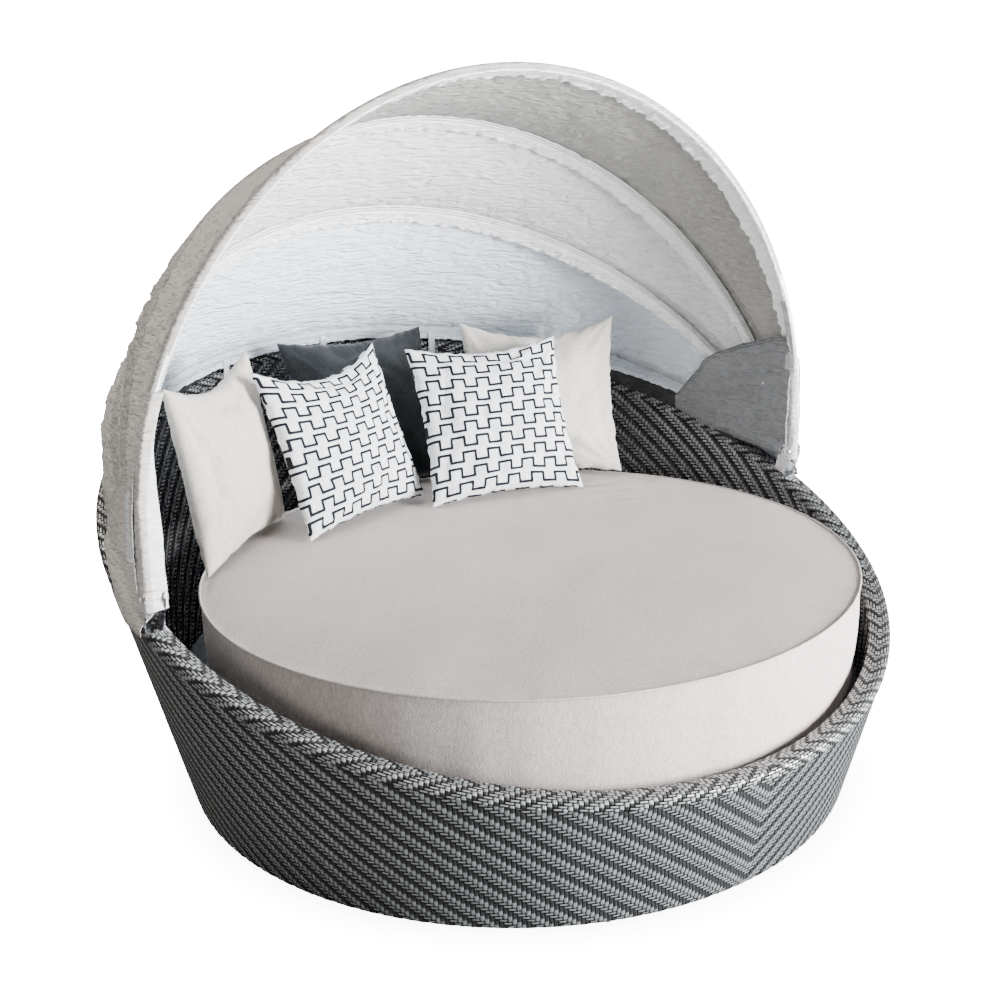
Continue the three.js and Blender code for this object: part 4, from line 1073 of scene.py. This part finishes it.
def hem_strap(number, turn):
    """A tie at a turn away from the middle of the rear, from the bow's inner side down the inner wall."""
    half_width, reach, slope = bow_lines["hem_bow"]
    turned, slope = math.radians(turn), math.radians(slope)
    away = reach - half_width + half_width * math.cos(turned)
    middle = Vector((half_width * math.sin(turned), axis_y + away * math.cos(slope),
                     axis_z + away * math.sin(slope)))
    bearing = math.atan2(middle.y, middle.x)
    radius = math.hypot(middle.x, middle.y)
    cap = float(rim_height(np.array(bearing))) - cap_height

    def wall_at(height):
        return float(outer_radius(height)) - rim_width

    line = [(radius + 0.004, middle.z + 0.0118), (radius - 0.006, middle.z + 0.0112),
            (radius - 0.0125, middle.z + 0.004), (radius - 0.0135, middle.z - 0.006),
            (wall_at(cap) - 0.0045, cap + 0.004), (wall_at(cap) - 0.003, cap - 0.014),
            (wall_at(cap - 0.045) - 0.0035, cap - 0.045), (wall_at(cap - 0.062) - 0.006, cap - 0.062)]
    walk, _ = along_line(line, strap_steps)
    for _ in range(6):
        walk[1:-1] = (walk[:-2] + walk[1:-1] * 2 + walk[2:]) / 4
    out = np.array((math.cos(bearing), math.sin(bearing)))
    side = np.array((-math.sin(bearing), math.cos(bearing)))
    width = np.linspace(-strap_half, strap_half, strap_columns)
    flat = walk[:, None, :1] * out + width[None, :, None] * side
    flat = flat + out * (strap_camber * np.cos(width / strap_half * 2.2))[None, :, None]
    grid = np.concatenate([flat, np.broadcast_to(walk[:, None, 1:], flat.shape[:2] + (1,))], -1)
    points, faces = cloth_layers(grid, strap_body)
    piece = mesh_object(f"strap_{number}", points, faces.tolist())
    piece.data.materials.append(strap_finish)
    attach(piece, "base")
    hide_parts(f"hem_strap_{number}")


for number, turn in enumerate(strap_turns, 1):
    hem_strap(number, turn)

# Mattress. An oval foam block, flat below and crowned on top, in a woven cover: a band round the side is
# sewn to the top along a fine seam. It lies loose on the deck.
mattress_radius = 0.74888
mattress_depth = 0.962
mattress_forward = 0.06403
mattress_crown = 0.016
mattress_foot, mattress_draw, foot_rounding, side_bulge = deck_top + 0.0005, 0.007, 0.034, 0.004
mattress_columns = 420
seam_height, piping = 0.4805, 0.0026
piping_shade_below, piping_shade_half = 0.0032, 0.0018
fold_place, fold_turn, fold_reach = (0.42, 0.22), -28.0, (0.24, 0.20)


def mattress_top(share):
    return seam_height + mattress_crown * (1 - share ** 4)


heather, given, result = new_group("heather_weave", ("Threads", "Slubs"), ("Height", "Tone"))
lies = wire(heather, "ShaderNodeMapping", {"Vector": places(heather), "Scale": (1.0, 1.0, 0.35)}).outputs[0]
threads = wire(heather, "ShaderNodeTexVoronoi", {"Vector": places(heather), "Scale": given["Threads"]},
               feature="F1").outputs["Distance"]
slubs = speckle(heather, given["Slubs"], 5.0, 0.65, lies)
heather.links.new(calc(heather, "SUBTRACT", slubs, threads), result["Height"])
lighter = calc(heather, "ADD", slubs, 0.25)
heather.links.new(calc(heather, "MULTIPLY_ADD", threads, -0.5, lighter), result["Tone"])


def upholstery(name, light, dark, seam=None):
    """Heathered outdoor fabric of flecked yarn; seam is the height of a piped seam, with a fine dark line
    just under it that is painted shade from the piping.
    """
    material, tree, shader = finish_of(name, Roughness=0.85, specular=0.25, Sheen_Weight=0.15,
                                       Sheen_Roughness=0.5)
    yarn = group_of(tree, heather, Threads=520.0, Slubs=210.0)
    base = mixed(tree, ramped(tree, yarn["Tone"], 0.25, 0.75), dark, light)
    if seam:
        height = wire(tree, "ShaderNodeSeparateXYZ", {0: places(tree)}).outputs["Z"]
        # Painted shade: a fine dark line just under the piping.
        below = near_line(tree, height, seam - piping_shade_below, piping_shade_half)
        base = mixed(tree, calc(tree, "MULTIPLY", below, 0.7), base, (0.12, 0.115, 0.11, 1.0))
    link_to(tree, base, shader, "Base Color")
    link_to(tree, ramped(tree, yarn["Tone"], 0.2, 0.8, 0.9, 0.75), shader, "Roughness")
    bumped(tree, shader, yarn["Height"], 0.0007, 0.7)
    return material


def mattress_profile():
    """Half of the mattress cut through its middle, as radius and height: foot, side, piped seam and top."""
    side_radius = mattress_radius - mattress_draw
    side_foot = mattress_foot + foot_rounding
    profile = [(radius, mattress_foot) for radius in np.linspace(0.03, side_radius - foot_rounding, 10)]
    for step in range(1, 9):
        corner = math.pi / 2 * step / 8
        profile.append((side_radius - foot_rounding * (1 - math.sin(corner)),
                        mattress_foot + foot_rounding * (1 - math.cos(corner))))
    for climb in np.linspace(0.05, 0.975, 30):
        drawn_in = mattress_draw * (1 - climb) ** 2 + 0.0042 - side_bulge * math.sin(math.pi * climb)
        profile.append((mattress_radius - drawn_in, side_foot + (seam_height - side_foot) * climb))
    for step in range(0, 11):
        around = math.radians(-115.0 + 25.0 * step)
        profile.append((mattress_radius - piping + piping * math.cos(around),
                        seam_height + piping * math.sin(around)))
    profile.append((mattress_radius - 2.2 * piping, seam_height + 0.0002))
    for share in np.sin(math.pi / 2 * np.linspace(0.93, 0.0, 110))[:-1]:
        profile.append((mattress_radius * share, mattress_top(share)))
    return np.array(profile)


def mattress_body():
    """A closed turned form whose side is drawn in a little, with soft hollows, folds and a puckered edge."""
    turn = np.arange(mattress_columns) / mattress_columns * 2 * math.pi
    profile = mattress_profile()
    radius, height = profile[:, 0][:, None], profile[:, 1][:, None]
    x = radius * np.cos(turn)
    y = radius * np.sin(turn) * mattress_depth - mattress_forward
    grid = np.stack([x, y, height + 0 * x], -1)
    share = radius / mattress_radius
    on_top = np.clip((height - seam_height + 0.001) / 0.003, 0, 1)
    near_edge = on_top * np.exp(-(np.maximum(1 - share, 0) / 0.045) ** 1.2)
    soft = rumple(grid, 0.22, 2.0, 2)
    grid[..., 2] += on_top * 0.003 * (soft - 0.4) * (1 - near_edge)
    lean = math.radians(fold_turn)
    from_x, from_y = grid[..., 0] - fold_place[0], grid[..., 1] - fold_place[1]
    run = from_x * math.cos(lean) + from_y * math.sin(lean)
    off = from_y * math.cos(lean) - from_x * math.sin(lean)
    pulled = np.exp(-(run / fold_reach[0]) ** 2 - (off / fold_reach[1]) ** 2) * on_top * (1 - near_edge)
    folds = fold_lines(rumple(np.stack([run * 0.22, off, 0 * off], -1), 0.040, 6.0, 2), 3.2, 1)
    grid[..., 2] += pulled * 0.0034 * folds
    pull = np.cos(turn * 61 + 3 * np.sin(turn * 5)) * 0.5 + 0.5 * np.cos(turn * 37)
    grid[..., 2] -= near_edge * (1 - np.exp(-((1 - share) / 0.012) ** 2)) * 0.0012 * (1 + pull)
    low_side = np.clip((seam_height - height) / 0.02, 0, 1) * np.clip((height - mattress_foot) / 0.05, 0, 1)
    sway = low_side * (0.0030 * rumple(grid * np.array([1, 1, 0.25]), 0.13, 4.0, 2) - 0.0015)
    grid[..., 0] += sway * np.cos(turn)
    grid[..., 1] += sway * np.sin(turn)
    rows = len(profile)
    points = np.concatenate([grid.reshape(-1, 3), [[0, -mattress_forward, mattress_foot]],
                             [[0, -mattress_forward, float(grid[-1, :, 2].mean())]]])
    faces = quads_of(rows, mattress_columns, closed=True)[:, ::-1].tolist()
    last = (rows - 1) * mattress_columns
    for step in range(mattress_columns):
        after = (step + 1) % mattress_columns
        faces.append((rows * mattress_columns, after, step))
        faces.append((rows * mattress_columns + 1, last + step, last + after))
    return mesh_object("mattress_cover", points, faces)


mattress = mattress_body()
mattress_cloth = upholstery("mattress_fabric", (0.53, 0.48, 0.45, 1.0), (0.36, 0.32, 0.30, 1.0), seam_height)
mattress.data.materials.append(mattress_cloth)
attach(mattress, "base")
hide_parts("mattress")

# Cushions. Each is two square faces sewn together and filled loosely: the sides draw in, the corners
# stay out as ears and the cloth puckers along the seam. Two smaller patterned ones lean on the plain ones.
cushion_sizes = {"plain": (0.440, 0.140), "patterned": (0.430, 0.124)}
cushion_set = {
    # kind, place of its foot, turn, lean to the back, tilt and how far its top edge sags
    "left_cushion": ("plain", (-0.512, 0.424), 42.0, 9.0, 0.0, 0.032),
    "rear_cushion": ("plain", (0.020, 0.712), -3.0, 25.0, 0.0, 0.004),
    "right_cushion": ("plain", (0.438, 0.488), -26.0, 17.0, 0.0, 0.030),
    "left_patterned_cushion": ("patterned", (-0.196, 0.455), 18.0, 22.0, 1.0, 0.042),
    "right_patterned_cushion": ("patterned", (0.225, 0.402), -13.0, 27.0, 0.0, 0.014),
}
cushion_steps, flat_share = 52, 0.55
cushion_draw = 0.085
filling_stiffness, filling_pressure, filling_frames = 25, 5.0, 24
pucker_depth, corner_depth, crease_depth, hollow_depth = 0.0030, 0.0075, 0.006, 0.0045


def sewn_squares(name, edge, thickness):
    """Two squares of cloth sewn together, a little open, as a cushion is before it is filled."""
    points, faces, number, flat = [], [], {}, []
    for face in (1, -1):
        for i in range(cushion_steps + 1):
            for j in range(cushion_steps + 1):
                on_seam = i in (0, cushion_steps) or j in (0, cushion_steps)
                key = (i, j, 0 if on_seam else face)
                if key in number:
                    continue
                number[key] = len(points)
                u, v = 2 * i / cushion_steps - 1, 2 * j / cushion_steps - 1
                rise = 0.0 if on_seam else thickness / 2 * ((1 - u * u) * (1 - v * v)) ** 0.5
                points.append((edge / 2 * u, edge / 2 * v, face * rise))
                flat.append((u, v))
    for face in (1, -1):
        for i in range(cushion_steps):
            for j in range(cushion_steps):
                corners = [number.get((a, b, face), number.get((a, b, 0)))
                           for a, b in ((i, j), (i + 1, j), (i + 1, j + 1), (i, j + 1))]
                faces.append(corners if face > 0 else corners[::-1])
    piece = mesh_object(name, points, faces)
    map_places(piece, "cushion_cloth", flat)
    side = [0 if max(abs(u), abs(v)) > 0.999 else math.copysign(1, point[2])
            for (u, v), point in zip(flat, points)]
    return piece, np.column_stack([flat, side])


def settle(piece):
    """Writes what a piece's modifiers make of it into its own mesh."""
    shaped = bpy.data.meshes.new_from_object(piece.evaluated_get(bpy.context.evaluated_depsgraph_get()))
    piece.modifiers.clear()
    piece.data = shaped


def fill(piece):
    """Blows the cushion up as cloth, so that its faces swell and its seams draw in."""
    body = piece.modifiers.new("filling", "CLOTH")
    body.settings.quality = 6
    body.settings.mass = 0.25
    body.settings.tension_stiffness = filling_stiffness
    body.settings.compression_stiffness = filling_stiffness
    body.settings.shear_stiffness = 12
    body.settings.bending_stiffness = 0.4
    body.settings.use_pressure = True
    body.settings.uniform_pressure_force = filling_pressure
    body.settings.effector_weights.gravity = 0.0
    body.settings.air_damping = 2.0
    body.point_cache.frame_start = 1
    body.point_cache.frame_end = filling_frames + 2
    for frame_number in range(1, filling_frames + 1):
        scene.frame_set(frame_number)
    settle(piece)
    scene.frame_set(1)


def shaped_cushion(points, flat, edge, thickness, sag, seed):
    """Brings a filled cushion back to its own size, with ears, puckers, folds and a sagging top."""
    u, v, face = flat.T
    points[:, 2] *= thickness / np.ptp(points[:, 2])
    even = np.stack([edge / 2 * u * (1 - cushion_draw * (1 - v * v)),
                     edge / 2 * v * (1 - cushion_draw * (1 - u * u)),
                     face * thickness / 2 * np.clip((1 - u * u) * (1 - v * v), 0, 1) ** 0.40], -1)
    from_edge = 1 - np.maximum(np.abs(u), np.abs(v))
    inner = np.clip(from_edge / 0.22, 0, 1)
    blown = np.array([0.05, 0.05, 0.30]) + inner[:, None] * np.array([0.30, 0.30, 0.25])
    points = even * (1 - blown) + points * blown
    points[:, 2] += face * inner * hollow_depth * rumple(points * np.array([1, 1, 0.4]), 0.11, seed + 3.0, 2)
    upright = np.abs(v) > np.abs(u)
    seam_pull = np.cos(46 * u * upright + 46 * v * ~upright + 5 * np.sin(6 * u + 7 * v))
    near_seam = np.exp(-(from_edge / 0.07)) * (face != 0)
    points[:, 2] += face * near_seam * pucker_depth * seam_pull
    points[:, 0] += edge * 0.006 * seam_pull * (np.abs(u) > 0.93) * np.sign(u) * (1 - v ** 4)
    points[:, 1] += edge * 0.006 * seam_pull * (np.abs(v) > 0.93) * np.sign(v) * (1 - u ** 4)
    for corner_u, corner_v in ((-1, -1), (-1, 1), (1, -1), (1, 1)):
        across, up = corner_u - u, corner_v - v
        away = np.hypot(across, up)
        spread = np.arctan2(up, across)
        pull = np.cos(13 * spread + seed + 2.0 * np.sin(3 * spread + seed))
        pull = pull * np.exp(-away / 0.42) * np.clip(away / 0.12, 0, 1)
        points[:, 2] += face * inner * corner_depth * pull
    folds = fold_lines(rumple(points * np.array([1.0, 0.6, 0.3]), 0.16, seed + 7.0, 2), 3.2)
    points[:, 2] -= face * inner * crease_depth * folds
    points[:, 1] -= sag * (1 - u * u) * ((1 + v) / 2) ** 2
    return points


def place_cushion(name, seed):
    """Sews, fills and shapes a cushion, leans it in its place and sets it down on the mattress."""
    kind, place, turn, lean_back, tilt, sag = cushion_set[name]
    edge, thickness = cushion_sizes[kind]
    piece, flat = sewn_squares(name + "_cover", edge, thickness * flat_share)
    fill(piece)
    points = np.empty(len(piece.data.vertices) * 3)
    piece.data.vertices.foreach_get("co", points)
    points = shaped_cushion(points.reshape(-1, 3), flat, edge, thickness, sag, seed)
    stand = (Matrix.Rotation(math.radians(turn), 3, "Z")
             @ Matrix.Rotation(math.pi / 2 - math.radians(lean_back), 3, "X")
             @ Matrix.Rotation(math.radians(tilt), 3, "Z"))
    points = points @ np.array(stand).T
    points += np.array([place[0], place[1], 0.0])
    low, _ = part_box(name)
    points[:, 2] += low[2] - points[:, 2].min()
    piece.data.vertices.foreach_set("co", points.ravel())
    refine = piece.modifiers.new("refine", "SUBSURF")
    refine.levels = refine.render_levels = 1
    settle(piece)
    piece.data.shade_smooth()
    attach(piece, "base")
    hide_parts(name)
    return piece


plain_cloth = upholstery("cushion_fabric", (0.55, 0.52, 0.475, 1.0), (0.37, 0.345, 0.31, 1.0))
# The rear cushion is a plain one like the others, coloured near black: painted shade for the deep shade under
# the back of the canopy.
shaded_cloth = upholstery("rear_cushion_painted_shade", (0.015, 0.018, 0.021, 1.0), (0.008, 0.010, 0.012, 1.0))
patterned_cloth, tree, shader = finish_of("key_pattern_fabric", Roughness=0.85, specular=0.2)
key_rows, key_periods = 10.5, 6.3
key_rise, key_shift = 0.58, 0.385
key_line_core, key_line_edge, key_corner = 0.070, 0.106, 0.07
key_colour, below_colour = (0.004, 0.005, 0.009, 1.0), (0.45, 0.48, 0.53, 1.0)
yarn = group_of(tree, heather, Threads=520.0, Slubs=260.0)
cut_across, cut_up = flat_place(tree, "cushion_cloth")
row_place = calc(tree, "MULTIPLY", cut_up, key_rows / 2)
period_place = calc(tree, "MULTIPLY", cut_across, key_periods / 2)


def key_line(tree, row_of, period_of):
    """How near a place is to a line that steps like a battlement, 1 on it, and whether it is below it."""
    row = calc(tree, "FLOOR", row_of)
    within = calc(tree, "SUBTRACT", calc(tree, "SUBTRACT", row_of, row), 0.5)
    period_of = calc(tree, "ADD", period_of, 40.0)
    through = calc(tree, "FRACT", calc(tree, "MULTIPLY_ADD", row, key_shift, period_of))
    from_middle = calc(tree, "ABSOLUTE", calc(tree, "SUBTRACT", through, 0.5))
    to_step = calc(tree, "ABSOLUTE", calc(tree, "SUBTRACT", from_middle, 0.25))
    to_step = calc(tree, "MULTIPLY", calc(tree, "SUBTRACT", 0.25, to_step), key_rows / key_periods)
    lowered = calc(tree, "GREATER_THAN", through, 0.5)
    level_at = calc(tree, "MULTIPLY_ADD", lowered, -key_rise, key_rise / 2)
    to_level = calc(tree, "ABSOLUTE", calc(tree, "SUBTRACT", within, level_at))
    past = calc(tree, "MAXIMUM", calc(tree, "SUBTRACT", calc(tree, "ABSOLUTE", within), key_rise / 2), 0.0)
    past_squared = calc(tree, "MULTIPLY", past, past)
    to_riser = calc(tree, "SQRT", calc(tree, "MULTIPLY_ADD", to_step, to_step, past_squared))
    distance = calc(tree, "SMOOTH_MIN", to_level, to_riser, key_corner)
    on_line = ramped(tree, distance, key_line_core, key_line_edge, 1.0, 0.0)
    return on_line, calc(tree, "LESS_THAN", within, level_at)


line, below_line = key_line(tree, row_place, period_place)
ground = mixed(tree, ramped(tree, yarn["Tone"], 0.25, 0.75), (0.52, 0.53, 0.55, 1.0), (0.86, 0.87, 0.89, 1.0))
ground = mixed(tree, calc(tree, "MULTIPLY", below_line, 0.3), ground, below_colour)
link_to(tree, mixed(tree, line, ground, key_colour), shader, "Base Color")
link_to(tree, ramped(tree, yarn["Tone"], 0.2, 0.8, 0.9, 0.75), shader, "Roughness")
bumped(tree, shader, calc(tree, "MULTIPLY_ADD", line, 0.35, yarn["Height"]), 0.0008, 0.7)
for number, name in enumerate(cushion_set):
    piece = place_cushion(name, number)
    plain = shaded_cloth if name == "rear_cushion" else plain_cloth
    piece.data.materials.clear()
    piece.data.materials.append(patterned_cloth if cushion_set[name][0] == "patterned" else plain)
